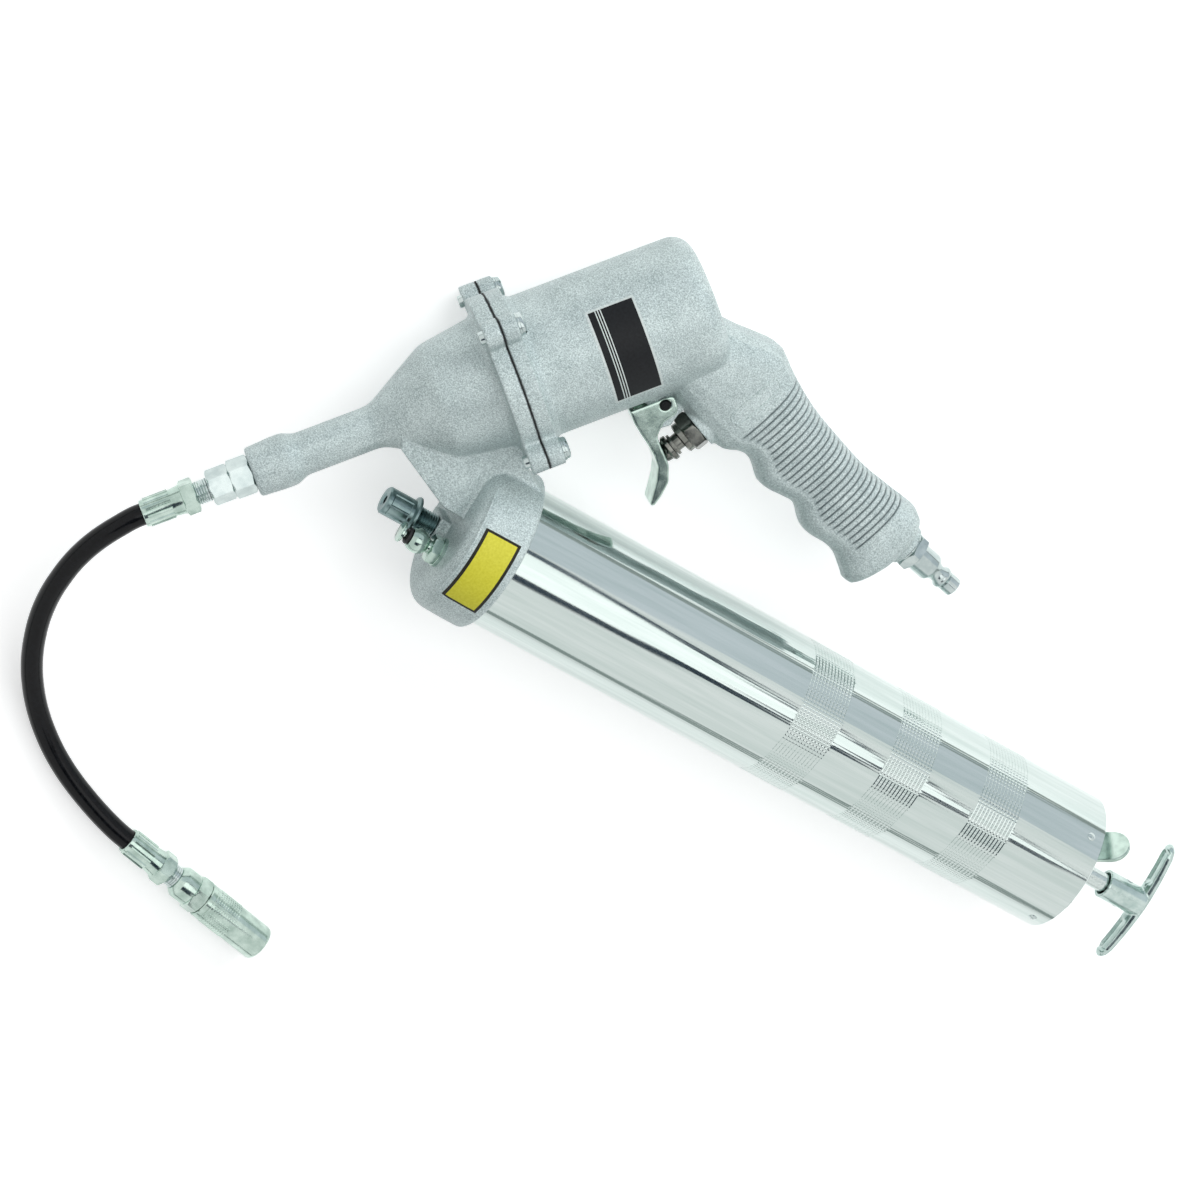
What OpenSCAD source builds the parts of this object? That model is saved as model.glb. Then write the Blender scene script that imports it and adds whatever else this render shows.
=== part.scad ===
// Air-powered grease gun with a pistol grip, a cartridge barrel and a short delivery hose.
// It lies on its side: +Z up, +X along the barrel towards its T-handle, +Y towards the air motor.
// Z = 0 is the surface that it lies on, and the axes of motor and barrel lie in one level plane.
// Stations along the motor and the barrel are measured from the point where the two axes cross.

/* [Layout] */
// Angle between the air motor's axis and the barrel's axis, in degrees
drive_angle = 51; // [46:1:56]
// Running clearance of a moving part in its bore, on the radius
running_gap = 0.05; // [0.03:0.01:0.08]
// Free clearance between parts that move past each other
free_gap = 0.3; // [0.2:0.05:0.5]

/* [Air motor] */
// Outside diameter of the air cylinder
motor_d = 54.6; // [52:0.2:58]
// Wall of the air cylinder
motor_wall = 3.8; // [3:0.2:5]
// Station of the air cylinder's rear face
motor_rear = 157.5; // [150:0.5:165]
// Radius of the air cylinder's rear edge
motor_edge_r = 8; // [4:0.5:10]
// Thickness of the air cylinder's rear wall
motor_floor = 7.5; // [6:0.5:9]
// Diameter of the joining flanges
flange_d = 64; // [61:0.5:66]
// Thickness of the front flange
front_flange_t = 6.5; // [5:0.5:8]
// Thickness of the rear flange
rear_flange_t = 6; // [5:0.5:8]
// Station of the joint between the flanges
joint_station = 78.6; // [76:0.2:81]
// Thickness of the gasket between the flanges
gasket_t = 0.5; // [0.3:0.1:1]
// Diameter of the circle of flange screws
bolt_circle_d = 71.6; // [70:0.2:73]
// Diameter of the ears that hold the flange screws
ear_d = 10.8; // [10:0.2:12]
// Shank diameter of a flange screw
screw_d = 5; // [4:0.5:5.5]
// Head diameter of a flange screw
screw_head_d = 8.4; // [8:0.2:9]
// Stroke of the air piston
piston_stroke = 40; // [30:1:42]
// Thickness of the air piston
piston_t = 10; // [8:0.5:12]
// Diameter of the pump plunger
plunger_d = 6.3; // [5:0.1:7]

/* [Pump head] */
// Distance from the crossing of the axes to the nose's end
nose_reach = 24; // [22:0.5:27]
// Diameter of the nose collar
nose_d = 20.2; // [19:0.2:22]
// Diameter of the neck
neck_d = 16.4; // [15:0.2:18]
// Outside diameter of the barrel cap
cap_d = 64.6; // [63:0.2:68]
// Station of the barrel cap's front face
cap_front = 59.5; // [58:0.5:61]
// Station of the barrel cap's open rim
cap_rim = 82; // [80:0.5:86]
// Radius of the barrel cap's front edge
cap_edge_r = 7; // [4:0.5:8]
// Depth of the barrel socket in the cap
socket_depth = 14; // [12:0.5:15]
// Thickness of the web between the neck and the barrel cap
web_t = 24; // [20:1:26]
// Diameter of the check ball
check_ball_d = 6.4; // [6:0.1:7]

/* [Grip] */
// Width of the pistol grip where the hand holds it
grip_w = 27; // [25:0.5:29]
// Spacing of the grip's grooves
rib_pitch = 2.45; // [2.2:0.05:2.6]
// Number of grooves round the grip
rib_count = 27; // [20:1:28]
// Depth of the grip's grooves
rib_depth = 0.8; // [0.4:0.1:1.1]

/* [Trigger and air valve] */
// Width of the trigger's channel
trigger_w = 13; // [12:0.5:14]
// Sheet thickness of the trigger
trigger_sheet = 1.4; // [1.2:0.1:1.6]
// Diameter of the trigger's pivot pin
pivot_d = 3.9; // [3:0.1:4.2]
// Size across flats of the valve body
valve_hex = 14; // [13:0.5:14.5]
// Height of the valve body's hexagon
valve_hex_t = 5.5; // [4.5:0.25:6]
// Diameter of the valve stem
valve_stem_d = 4.1; // [3.5:0.1:4.6]
// Travel of the valve stem
valve_travel = 2.4; // [1.8:0.1:2.8]
// Size across flats of the air plug
plug_hex = 14; // [13:0.5:14.5]
// Diameter of the air plug's nose
plug_nose_d = 7.8; // [7:0.1:8]

/* [Barrel] */
// Outside diameter of the barrel tube
barrel_d = 57; // [56:0.2:58]
// Wall of the barrel tube
barrel_wall = 1.2; // [0.8:0.1:1.6]
// Station of the barrel's rear rim
barrel_rear = 347.7; // [340:0.5:360]
// Thickness of the gasket that the barrel seats on
barrel_gasket_t = 2; // [1:0.25:3]
// Station of the first rolled grip band
band_start = 207.2; // [190:0.5:215]
// Length of a rolled grip band
band_len = 19.3; // [15:0.1:22]
// Distance from one rolled band to the next
band_pitch = 41.6; // [35:0.1:44]
// Grooves in a rolled band
band_grooves = 13; // [8:1:15]

/* [Follower and handle] */
// Diameter of the follower rod
rod_d = 7.8; // [6:0.1:8]
// Travel of the follower rod
rod_travel = 190; // [120:5:195]
// Length of the T-handle across its arms
handle_span = 54; // [46:1:60]
// Diameter of the T-handle's hub
hub_d = 12; // [11:0.2:13]
// Distance of the T-handle's hub behind the barrel
hub_gap = 20.5; // [17:0.5:30]

/* [Filling and bleeding] */
// Diameter of the filler's body
filler_d = 11; // [10:0.2:12]
// Travel of the bleeder's button
bleeder_travel = 1.5; // [1:0.1:1.6]

/* [Hose and coupler] */
// Diameter of the delivery hose
hose_d = 8.4; // [8:0.1:9]
// Diameter of the coupler's sleeve
coupler_d = 14.8; // [14:0.1:16]
// Length of the coupler's sleeve
sleeve_len = 30.5; // [26:0.5:34]

/* [Hidden] */
$fn = 64;
cut = 1;
arc_step = 15;

motor_r = motor_d / 2;
bore_r = motor_r - motor_wall;
bolt_r = bolt_circle_d / 2;
ear_web = ear_d - 1.4;
ear_reach = bolt_r - flange_d / 2 + 2;
flange_front = joint_station - front_flange_t;
rear_joint = joint_station + gasket_t;
rear_flange_back = rear_joint + rear_flange_t;
bore_end = motor_rear - motor_floor;
piston_back = bore_end - 0.2;
piston_front = piston_back - piston_t;
piston_hub_len = 6;
seal_w = 4.8;
seal_in_r = bore_r - 2.6;
plunger_r = plunger_d / 2;
packing_front = joint_station - 14.6;
spring_seat = joint_station - 8.6;
return_spring_r = 12;
plunger_tip = 6 + piston_stroke;
plunger_end = piston_front + 6;
cap_r = cap_d / 2;
socket_floor = cap_rim - socket_depth;
barrel_r = barrel_d / 2;
barrel_in_r = barrel_r - barrel_wall;
barrel_front = socket_floor + barrel_gasket_t;
neck_r = neck_d / 2;
nose_r = nose_d / 2;
cone_start = 24.8;

// Flange screws and their washers
washer_t = 0.9;
screw_seat = rear_flange_back + washer_t;
screw_head_t = 1.9;
screw_slot_t = 0.9;
screw_slot_w = 1.2;
screw_end = flange_front - 1.8;

// Outlet, seen from the crossing of the axes towards the nose
outlet_thread_r = 5;
check_port_r = 2.2;
check_seat = -5;
grease_port = 26.2;
check_bore_r = check_ball_d / 2 + 0.5;
check_ball_lift = 1.2;
check_ball_drop = sqrt(pow(check_ball_d / 2, 2) - pow(check_port_r, 2)) + running_gap;
check_ball_z = check_seat - check_ball_drop;
check_ball_back = check_ball_z - check_ball_d / 2;
adapter_end = check_ball_back - check_ball_lift - 2.2;
spring_pocket = 4;
adapter_hex_a = 13;
adapter_hex_b = 12;
adapter_a_len = 8.2;
adapter_b_len = 8.6;
adapter_front = -nose_reach - adapter_a_len - adapter_b_len;
adapter_bore_r = 4.7;
end_thread_r = 4.6;
end_thread_len = 5.2;
end_stem_in = 4;

// Grip frame: its origin lies below the motor's rear, x runs down the grip and y to its back
grip_angle = 66;
grip_origin = [motor_rear - 12.1, -(motor_r - 3.7)];
grip_sides = 20;
grip_square = 2.5;
grip_length = 109;
rib_start = 28;
rib_front = -0.5;
rib_profile = [[0, 0], [0.45, 1], [0.9, 0]];
// Outline tables, drawn for a grip of this length: below the first groove they stretch with it
drawn_length = 109;
grip_back = [
    [-16, 14], [-8, 19], [0, 21.8], [12, 27.1], [17, 27.6], [27, 24.2], [43, 20.6],
    [60, 19.3], [74, 19], [88, 20.5], [99, 21.9], [104, 20.8], [107, 16.8], [109, 8]
];
grip_front = [
    [-16, -8], [-8, -12], [0, -14.3], [25, -15.9], [29, -14.9], [34, -11.2], [39, -10.2],
    [43, -11.5], [48, -13.8], [53, -13.6], [58, -11.9], [64, -10.2], [68, -11.4], [72, -13.7],
    [78, -14.3], [85, -12.6], [91, -12.5], [97, -14.8], [102, -17], [104.3, -16.2],
    [105.9, -12.8], [107.1, -8.6], [109, -3.4]
];
grip_end_rings = [98, 101, 104, 105.5, 107, 108.2, drawn_length];
grip_spread = [
    [-16, 1.35], [0, 1.3], [16, 1.12], [28, 1], [60, 0.94], [90, 1.02], [100, 1.02],
    [105, 0.92], [107.5, 0.74], [109, 0.4]
];

// Air valve: where it stands on the grip's front, and its axis in the grip frame
valve_place = [16.2, -16];
valve_lean = -94.5;
valve_shank_r = 5.4;
valve_shank_len = 13;
valve_chamber_r = 4.2;
valve_chamber_end = 28;
valve_nut_t = 2.4;
valve_top = valve_hex_t + valve_nut_t;
stem_r = valve_stem_d / 2;
stem_neck_r = 3.3;
stem_disc_z = valve_top + valve_travel + 0.1;
stem_disc_t = 1.2;
stem_tip = valve_top + 9.8;
stem_knob_r = 4.1;
stem_grip_r = 5.2;
stem_dome_r = 6.5;
stem_knob_t = stem_tip - stem_disc_z - stem_disc_t - 0.3;
poppet_r = 3.6;
poppet_t = 1.8;
poppet_gap = 0.25;
poppet_back = -valve_shank_len - poppet_gap - poppet_t;

// Air plug: its axis in the grip frame
plug_place = [grip_length + 1.3, 9.1];
plug_lean = 4;
plug_boss_r = 8.4;
plug_shank_r = 6.4;
plug_shank_len = 12;
plug_boss_len = 20;
passage_r = 3;

// Trigger: its outline is measured from the pivot pin, x towards the motor's rear
pivot_r = pivot_d / 2;
pivot_place = grip_origin + [-17.1, -6.9];
trigger_top = 2.3;
// Lower end of the trigger's channel, behind its cheeks
trigger_hollow = [11, -36];
lug_w = trigger_w - 2 * trigger_sheet - 2 * free_gap;
trigger_front_edge = [
    [-13.3, trigger_top], [-13.1, -3], [-12.1, -8], [-10.8, -13], [-10.1, -17.5],
    [-10.2, -22], [-12.1, -26.5], [-15, -31], [-17.6, -35]
];
trigger_back_edge = [
    [-16.6, -36.1, 1.2], [-12.6, -33.3, 3], [-8.3, -29.2, 3], [-6, -22.5, 5], [-6.6, -14.5, 4],
    [-6.7, -10.5, 3], [-2.5, -6.1, 3], [4.3, -4.9, 4], [4.3, trigger_top, 1.5]
];

// Rear end of the barrel
end_cap_t = 1.5;
end_cap_recess = 1.6;
end_cap_skirt = 9;
end_cap_back = barrel_rear - end_cap_recess;
end_cap_front = end_cap_back - end_cap_t;
rivet_d = 3.4;
rivet_shank_d = 2.2;
rivet_station = barrel_rear - 6;
rivet_angles = [50, 140, 230, 320];
groove_w = 0.7;
groove_depth = 0.3;

// Follower, its rod and the T-handle
rod_r = rod_d / 2;
cup_r = barrel_in_r - 0.15;
cup_t = 12;
follower_front = barrel_front + 2;
cup_floor = 4;
plate_front = follower_front + cup_floor;
plate_t = 1.5;
follower_spring_front = plate_front + plate_t;
rod_front = follower_front + 4;
follower_spring_r = 19;
hub_front = barrel_rear + hub_gap;
hub_len = 14;
pin_r = 1.2;
handle_x = hub_front + 18.1;
handle_bow = 2.4;
arm_t = 5.9;
handle_pin_x = hub_front + 9;
arm_w = 9;
hub_recess = 3;

// Latch lever: its direction round the barrel's axis, from +Y towards +Z
latch_turn = 38;
latch_t = 1.6;
latch_w = 14;
latch_x = barrel_rear + 1.2;
latch_bend = 15.9;
latch_tab_len = 16;
latch_tab_angle = 45;
latch_heel = 11;
latch_foot_r = 0.8;
latch_foot_gap = 0.2;
latch_hole_r = rod_r + 0.5;

// Filler and bleeder on the cap's front pad
pad_front = cap_front - 4.5;
pad_y = [-14, 1.6];
pad_z = [-12, 4.4];
filler_y = -3.5;
filler_tip = pad_front - 21.8;
filler_collar = pad_front - 10.4;
filler_stem_r = 3.9;
filler_collar_r = 7.3;
bleeder_place = [-9, 10.6];
bleeder_hex = 10;
bleeder_hex_t = 5;
bleeder_ball_r = 5;
bleeder_ball_x = cap_front - 10.1;
bleeder_flat_x = bleeder_ball_x - 3.2;
bleeder_seal_r = 0.8;
bleeder_seal_x = bleeder_flat_x - bleeder_seal_r;
bleeder_cap_t = 1.3;
button_stem_r = 1.25;
bleeder_tip = bleeder_seal_x - bleeder_seal_r - bleeder_travel - 0.1 - bleeder_cap_t;
button_len = bleeder_ball_x - bleeder_tip + 4;

// Hose route: hand-chosen points along its centre line, in the part's frame
hose_route = [
    [-42.2, -52.1, 0], [-44.3, -54.9, -0.1], [-47.0, -60.1, -1.0], [-49.5, -65.7, -2.3],
    [-51.5, -71.5, -3.9], [-52.9, -77.6, -5.8], [-53.7, -84.0, -7.9], [-53.9, -90.6, -9.9],
    [-53.6, -97.3, -12.2], [-52.6, -104.1, -14.6], [-51.0, -110.8, -16.8], [-48.7, -117.5, -18.9],
    [-45.9, -124.0, -21.0], [-42.5, -130.3, -22.9], [-38.5, -136.3, -24.7], [-34.0, -142.0, -26.2],
    [-29.0, -147.3, -27.3], [-23.5, -152.2, -27.8], [-17.6, -156.7, -27.9], [-11.3, -160.7, -27.8],
    [-4.7, -164.2, -27.5], [2.1, -167.2, -26.9], [9.1, -169.9, -26.2], [16.2, -172.2, -25.4],
    [21.0, -173.5, -25.0], [25.2, -174.4, -24.9]
];
hose_sides = 10;
hose_last = hose_route[len(hose_route) - 1];
coupler_turn = -11.4;
ferrule_len = 21;
ferrule_d = 10.9;
ferrule_hex = 12;
coupler_nose_len = 4;
coupler_collar_len = 13.6;
coupler_collar_d = 13.4;
coupler_mouth_r = 3.4;
coupler_back = ferrule_len + coupler_nose_len;
sleeve_back = coupler_back + coupler_collar_len;
sleeve_bore_r = coupler_d / 2 - 1.6;
sleeve_lip = 2.2;
jaw_len = 8;
jaw_back = sleeve_back + sleeve_len - sleeve_lip - 0.1 - jaw_len;

// Place of the whole gun: it lies on the cap's rim, with the middle of its outline over the origin
axis_height = cap_r;
adapter_turn = 15;
adapter_corner = adapter_hex_b / 2 / cos(30) * cos(adapter_turn);
low_x = adapter_front * cos(drive_angle) - adapter_corner * sin(drive_angle);
high_x = handle_x + arm_t / 2;
low_y = adapter_front * sin(drive_angle) - adapter_corner * cos(drive_angle);
high_y = (motor_rear - motor_edge_r) * sin(drive_angle)
    + (motor_r - motor_edge_r) * cos(drive_angle) + motor_edge_r;
mid_x = (low_x + high_x) / 2;
mid_y = (low_y + high_y) / 2;

// Frames

module gun() {
    translate([-mid_x, -mid_y, axis_height]) children();
}

// The motor's plane: x along its axis, y away from the grip
module motor_plane() {
    gun() rotate([0, 0, drive_angle]) children();
}

module motor_axis() {
    motor_plane() rotate([0, 90, 0]) children();
}

module barrel_axis() {
    gun() rotate([0, 90, 0]) children();
}

module grip_plane() {
    motor_plane() translate(grip_origin) rotate([0, 0, -grip_angle]) children();
}

// The valve's axis: z points out of the grip, towards the trigger
module valve_axis() {
    grip_plane() translate(valve_place) rotate([0, 0, valve_lean]) rotate([0, 90, 0]) children();
}

module plug_axis() {
    grip_plane() translate(plug_place) rotate([0, 0, plug_lean]) rotate([0, 90, 0]) children();
}

// The latch lever's plane: x along the barrel, y out along the lever
module latch_plane() {
    gun() rotate([latch_turn, 0, 0]) children();
}

// The hose's outlet end: z runs on from the hose through the coupler
module coupler_axis() {
    gun() translate(hose_last) rotate([0, 0, coupler_turn]) rotate([0, 90, 0]) children();
}

// Shared shapes

function unit(v) = v / norm(v);

// Arc that rounds the corner q between p and s, touching both sides
function corner(p, q, s, r) =
    let(a = unit([p.x - q.x, p.y - q.y]), b = unit([s.x - q.x, s.y - q.y]))
    let(half = acos(max(-1, min(1, a * b))) / 2)
    let(middle = [q.x, q.y] + unit(a + b) * r / sin(half))
    let(start = [q.x, q.y] + a * r / tan(half) - middle, end = [q.x, q.y] + b * r / tan(half) - middle)
    let(from = atan2(start.y, start.x), turn = (atan2(end.y, end.x) - from + 540) % 360 - 180)
    let(steps = max(2, ceil(abs(turn) / arc_step)))
    [for (k = [0:steps]) middle + r * [cos(from + turn * k / steps), sin(from + turn * k / steps)]];

// Outline of [x, y] or [x, y, corner radius] points, with its corners rounded
function rounded(outline) =
    let(n = len(outline))
    [for (i = [0:n - 1])
        each len(outline[i]) < 3 || outline[i][2] == 0
            ? [[outline[i].x, outline[i].y]]
            : corner(outline[(i + n - 1) % n], outline[i], outline[(i + 1) % n], outline[i][2])];

// Value at t of the smooth curve through a table of [t, value] rows
function along(table, t) =
    let(n = len(table))
    t <= table[0][0] ? table[0][1] :
    t >= table[n - 1][0] ? table[n - 1][1] :
    let(i = max([for (k = [0:n - 2]) if (table[k][0] <= t) k]))
    let(a = table[max(i - 1, 0)], b = table[i], c = table[i + 1], d = table[min(i + 2, n - 1)])
    let(h = c[0] - b[0], f = (t - b[0]) / h)
    let(m1 = (c[1] - a[1]) / (c[0] - a[0]) * h, m2 = (d[1] - b[1]) / (d[0] - b[0]) * h)
    (2 * f * f * f - 3 * f * f + 1) * b[1] + (f * f * f - 2 * f * f + f) * m1
        + (3 * f * f - 2 * f * f * f) * c[1] + (f * f * f - f * f) * m2;

// Closed skin over a row of rings with equal point counts
module loft(rings) {
    n = len(rings[0]);
    last = (len(rings) - 1) * n;
    sides = [for (j = [0:len(rings) - 2]) for (i = [0:n - 1])
        [j * n + i, (j + 1) * n + i, (j + 1) * n + (i + 1) % n, j * n + (i + 1) % n]];
    polyhedron(
        points = [for (r = rings) each r],
        faces = concat([[for (i = [0:n - 1]) i]], sides, [[for (i = [n - 1:-1:0]) last + i]]),
        convexity = 10
    );
}

// Round wire wound along z, from z = 0 to z = length
module coil(mean_r, wire_r, length, turns, steps = 10, sides = 6) {
    count = turns * steps;
    rise = length - 2 * wire_r;
    loft([for (i = [0:count])
        let(a = 360 * i / steps, z = wire_r + rise * i / count)
        [for (k = [0:sides - 1])
            let(b = 360 * k / sides, r = mean_r + wire_r * cos(b))
            [r * cos(a), r * sin(a), z - wire_r * sin(b)]]]);
}

module ring(outer_r, inner_r, t) {
    difference() {
        cylinder(r = outer_r, h = t);
        translate([0, 0, -cut]) cylinder(r = inner_r, h = t + 2 * cut);
    }
}

// Hexagonal bar, measured across its flats
module hex_bar(flats, h) {
    cylinder(r = flats / 2 / cos(30), h = h, $fn = 6);
}

// Round bore between two points of the plane z = 0
module bore_between(p, q, r) {
    translate(p) rotate([0, 0, atan2(q.y - p.y, q.x - p.x)]) rotate([0, 90, 0])
        cylinder(r = r, h = norm(q - p));
}

// Places of the four flange screws, in the motor's axis frame
module at_screws() {
    for (a = [45:90:315])
        rotate([0, 0, a]) translate([bolt_r, 0, 0]) children();
}

// Flange plate with four ears, from station z0
module flange(z0, t) {
    translate([0, 0, z0]) {
        cylinder(d = flange_d, h = t);
        at_screws() {
            cylinder(d = ear_d, h = t);
            translate([-ear_reach, -ear_web / 2, 0]) cube([ear_reach, ear_web, t]);
        }
    }
}

module screw_holes(z0, t) {
    translate([0, 0, z0 - cut])
        at_screws() cylinder(d = screw_d + 0.4, h = t + 2 * cut);
}

// Pump head casting

module nose_and_cone() {
    rotate_extrude() polygon(rounded([
        [0, -nose_reach], [nose_r - 0.6, -nose_reach, 1.2], [nose_r, -nose_reach + 10, 8],
        [nose_r, -nose_reach + 14.5, 5], [neck_r, -nose_reach + 19, 5], [neck_r, cone_start, 10],
        [motor_r - 5, cone_start + 25, 9], [motor_r - 2, flange_front - 2, 1.5],
        [motor_r + 0.5, flange_front + 0.5], [0, flange_front + 0.5]
    ]));
}

module barrel_cap() {
    rotate_extrude() polygon(rounded([
        [0, cap_front], [cap_r - 0.4, cap_front, cap_edge_r], [cap_r, cap_rim - 8, 3],
        [cap_r, cap_rim, 1.2], [0, cap_rim]
    ]));
}

// Web from the neck and cone down to the barrel cap
module web() {
    neck_foot = [neck_r * sin(drive_angle) + 19, 23.4 - neck_r * cos(drive_angle)];
    linear_extrude(web_t, center = true) polygon(rounded([
        neck_foot, [cap_front - 8, 6.6, 5], [cap_front + 4, 7], [cap_rim - 6, 10],
        [cap_rim - 1.5, cap_r - 2], [cap_rim - 9, cap_r + 1, 2],
        flange_front * [cos(drive_angle), sin(drive_angle)],
        34 * [cos(drive_angle), sin(drive_angle)]
    ]));
}

// Pad on the cap's front face that carries the filler and the bleeder
module pad() {
    translate([pad_front, pad_y[0], pad_z[0]])
        cube([cap_front - pad_front + 2, pad_y[1] - pad_y[0], pad_z[1] - pad_z[0]]);
}

module front_housing() {
    color("gainsboro") difference() {
        union() {
            motor_axis() nose_and_cone();
            motor_axis() flange(flange_front, front_flange_t);
            barrel_axis() barrel_cap();
            gun() web();
            gun() pad();
        }
        motor_axis() {
            translate([0, 0, -nose_reach - cut])
                cylinder(r = outlet_thread_r, h = nose_reach + adapter_end + cut);
            translate([0, 0, -nose_reach]) cylinder(r = check_bore_r, h = nose_reach + check_seat);
            translate([0, 0, check_seat - cut]) cylinder(r = check_port_r, h = cut + 4);
            translate([0, 0, check_seat + 3]) cylinder(r = plunger_r + running_gap, h = joint_station);
            translate([0, 0, packing_front]) cylinder(r = plunger_r + 4, h = joint_station);
            translate([0, 0, spring_seat]) cylinder(r = bore_r - 2.5, h = joint_station);
            screw_holes(flange_front, front_flange_t);
        }
        barrel_axis() translate([0, 0, socket_floor])
            cylinder(r = barrel_r + 0.1, h = cap_rim);
        gun() {
            bore_between(
                grease_port * [cos(drive_angle), sin(drive_angle)], [socket_floor + cut, 15], 2.4
            );
            bore_between(
                [pad_front - cut, filler_y], [socket_floor + cut, filler_y], filler_stem_r + 0.1
            );
            translate([0, 0, bleeder_place[1]])
                bore_between(
                    [cap_front - cut, bleeder_place[0]], [socket_floor + cut, bleeder_place[0]], 2.6
                );
        }
    }
}

// Motor housing: air cylinder and pistol grip in one casting

module cylinder_shell() {
    rotate_extrude() polygon(rounded([
        [0, rear_joint], [motor_r + 1.5, rear_joint], [motor_r + 1.5, rear_flange_back + 0.5, 1.5],
        [motor_r, rear_flange_back + 2.5, 1.5], [motor_r, motor_rear, motor_edge_r],
        [0, motor_rear]
    ]));
}

function stretch() = (grip_length - rib_start) / (drawn_length - rib_start);

// Section of the grip at t, drawn in by inset over its flanks and back
function grip_ring(t, inset) =
    let(d = t < rib_start ? t : rib_start + (t - rib_start) / stretch())
    let(back = along(grip_back, d), front = along(grip_front, d))
    let(half_w = along(grip_spread, d) * grip_w / 2, power = 2 / grip_square)
    [for (k = [0:grip_sides - 1])
        let(a = 360 * k / grip_sides, in = cos(a) > rib_front ? inset : 0)
        let(v = ((back - front) / 2 - in) * sign(cos(a)) * pow(abs(cos(a)), power))
        let(z = (half_w * (1 + 0.07 * cos(a)) - in) * sign(sin(a)) * pow(abs(sin(a)), power))
        [t, (back + front) / 2 + v, z]];

function groove_at(k) = rib_start + k * rib_pitch;

module grip_body() {
    top = [for (t = [-16, -8, 0, 6, 12, 17, 22, 25]) grip_ring(t, 0)];
    ribs = [for (k = [0:rib_count - 1])
        for (step = rib_profile)
            grip_ring(groove_at(k) + step[0], step[1] * rib_depth)];
    rib_end = groove_at(rib_count) - rib_pitch / 2;
    end_steps = [for (d = grip_end_rings)
        let(t = rib_start + (d - rib_start) * stretch())
        if (t > rib_end) t];
    loft(concat(top, ribs, [for (t = end_steps) grip_ring(t, 0)]));
}

// Lug under the air cylinder that the trigger straddles
module trigger_lug() {
    linear_extrude(lug_w, center = true) polygon(rounded([
        [pivot_place.x - 8, -motor_r + 2], [pivot_place.x - 4, pivot_place.y - 2.5, 2],
        [pivot_place.x - 5.6, pivot_place.y - 8.6, 1], [pivot_place.x - 0.5, pivot_place.y - 9, 1],
        [pivot_place.x + 3.2, pivot_place.y - 6.4], [pivot_place.x + 16, pivot_place.y - 1],
        [pivot_place.x + 16, -motor_r + 2]
    ]));
}

module motor_housing() {
    color("gainsboro") difference() {
        union() {
            motor_axis() cylinder_shell();
            motor_axis() flange(rear_joint, rear_flange_t);
            grip_plane() grip_body();
            motor_plane() trigger_lug();
            valve_axis() translate([0, 0, -16]) cylinder(r = valve_hex / 2 + 2, h = 16);
            plug_axis() translate([0, 0, -plug_boss_len]) cylinder(r = plug_boss_r, h = plug_boss_len);
        }
        motor_axis() {
            translate([0, 0, rear_joint - cut]) cylinder(r = bore_r, h = bore_end - rear_joint + cut);
            screw_holes(rear_joint, rear_flange_t);
        }
        motor_plane() translate([pivot_place.x, pivot_place.y, -trigger_w / 2])
            cylinder(r = pivot_r + running_gap, h = trigger_w);
        valve_axis() {
            translate([0, 0, -valve_shank_len])
                cylinder(r = valve_shank_r + 0.1, h = valve_shank_len + cut);
            translate([0, 0, -valve_chamber_end]) cylinder(r = valve_chamber_r, h = valve_chamber_end);
        }
        plug_axis() translate([0, 0, -plug_shank_len])
            cylinder(r = plug_shank_r + 0.1, h = plug_shank_len + cut);
        grip_plane() {
            bore_between(
                [18, 6], plug_place - (plug_shank_len - 1) * [cos(plug_lean), sin(plug_lean)], passage_r
            );
            bore_between([16.4, -10], [-6, 7.7], 2.4);
        }
    }
}

module flange_gasket() {
    color("dimgray") motor_axis() difference() {
        flange(joint_station, gasket_t);
        translate([0, 0, joint_station - cut]) cylinder(r = bore_r, h = gasket_t + 2 * cut);
        screw_holes(joint_station, gasket_t);
    }
}

module flange_screw() {
    difference() {
        union() {
            translate([0, 0, screw_end]) cylinder(d = screw_d, h = screw_seat - screw_end);
            translate([0, 0, screw_seat]) rotate_extrude() polygon(rounded([
                [0, 0], [screw_head_d / 2, 0], [screw_head_d / 2, screw_head_t, 1], [0, screw_head_t]
            ]));
        }
        translate([-screw_head_d, -screw_slot_w / 2, screw_seat + screw_head_t - screw_slot_t])
            cube([2 * screw_head_d, screw_slot_w, screw_slot_t + cut]);
    }
}

module flange_screws() {
    color("silver") motor_axis() at_screws() flange_screw();
}

module lock_washers() {
    color("silver") motor_axis() at_screws() translate([0, 0, rear_flange_back])
        ring(screw_head_d / 2 + 0.3, screw_d / 2 + 0.15, washer_t);
}

// Air piston, plunger and return spring

module air_piston() {
    color("silver") motor_axis() difference() {
        union() {
            translate([0, 0, piston_front]) cylinder(r = bore_r - 0.25, h = piston_t);
            translate([0, 0, piston_front - piston_hub_len]) cylinder(r = 7, h = piston_hub_len + 1);
        }
        translate([0, 0, piston_front + 2.5]) ring(bore_r + cut, seal_in_r, seal_w + 0.2);
        translate([0, 0, piston_front - piston_hub_len - cut])
            cylinder(r = plunger_r, h = plunger_end - piston_front + piston_hub_len + cut);
    }
}

module piston_seal() {
    color("dimgray") motor_axis() translate([0, 0, piston_front + 2.6])
        ring(bore_r - running_gap, seal_in_r, seal_w);
}

module pump_plunger() {
    color("lightsteelblue") motor_axis() translate([0, 0, plunger_tip])
        cylinder(r = plunger_r, h = plunger_end - plunger_tip);
}

module plunger_packing() {
    color("dimgray") motor_axis() translate([0, 0, packing_front])
        ring(plunger_r + 4, plunger_r + running_gap, spring_seat - packing_front);
}

module return_spring() {
    color("silver") motor_axis() translate([0, 0, spring_seat + 0.1])
        coil(return_spring_r, 1.1, piston_front - spring_seat - 0.2, 8);
}

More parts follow.
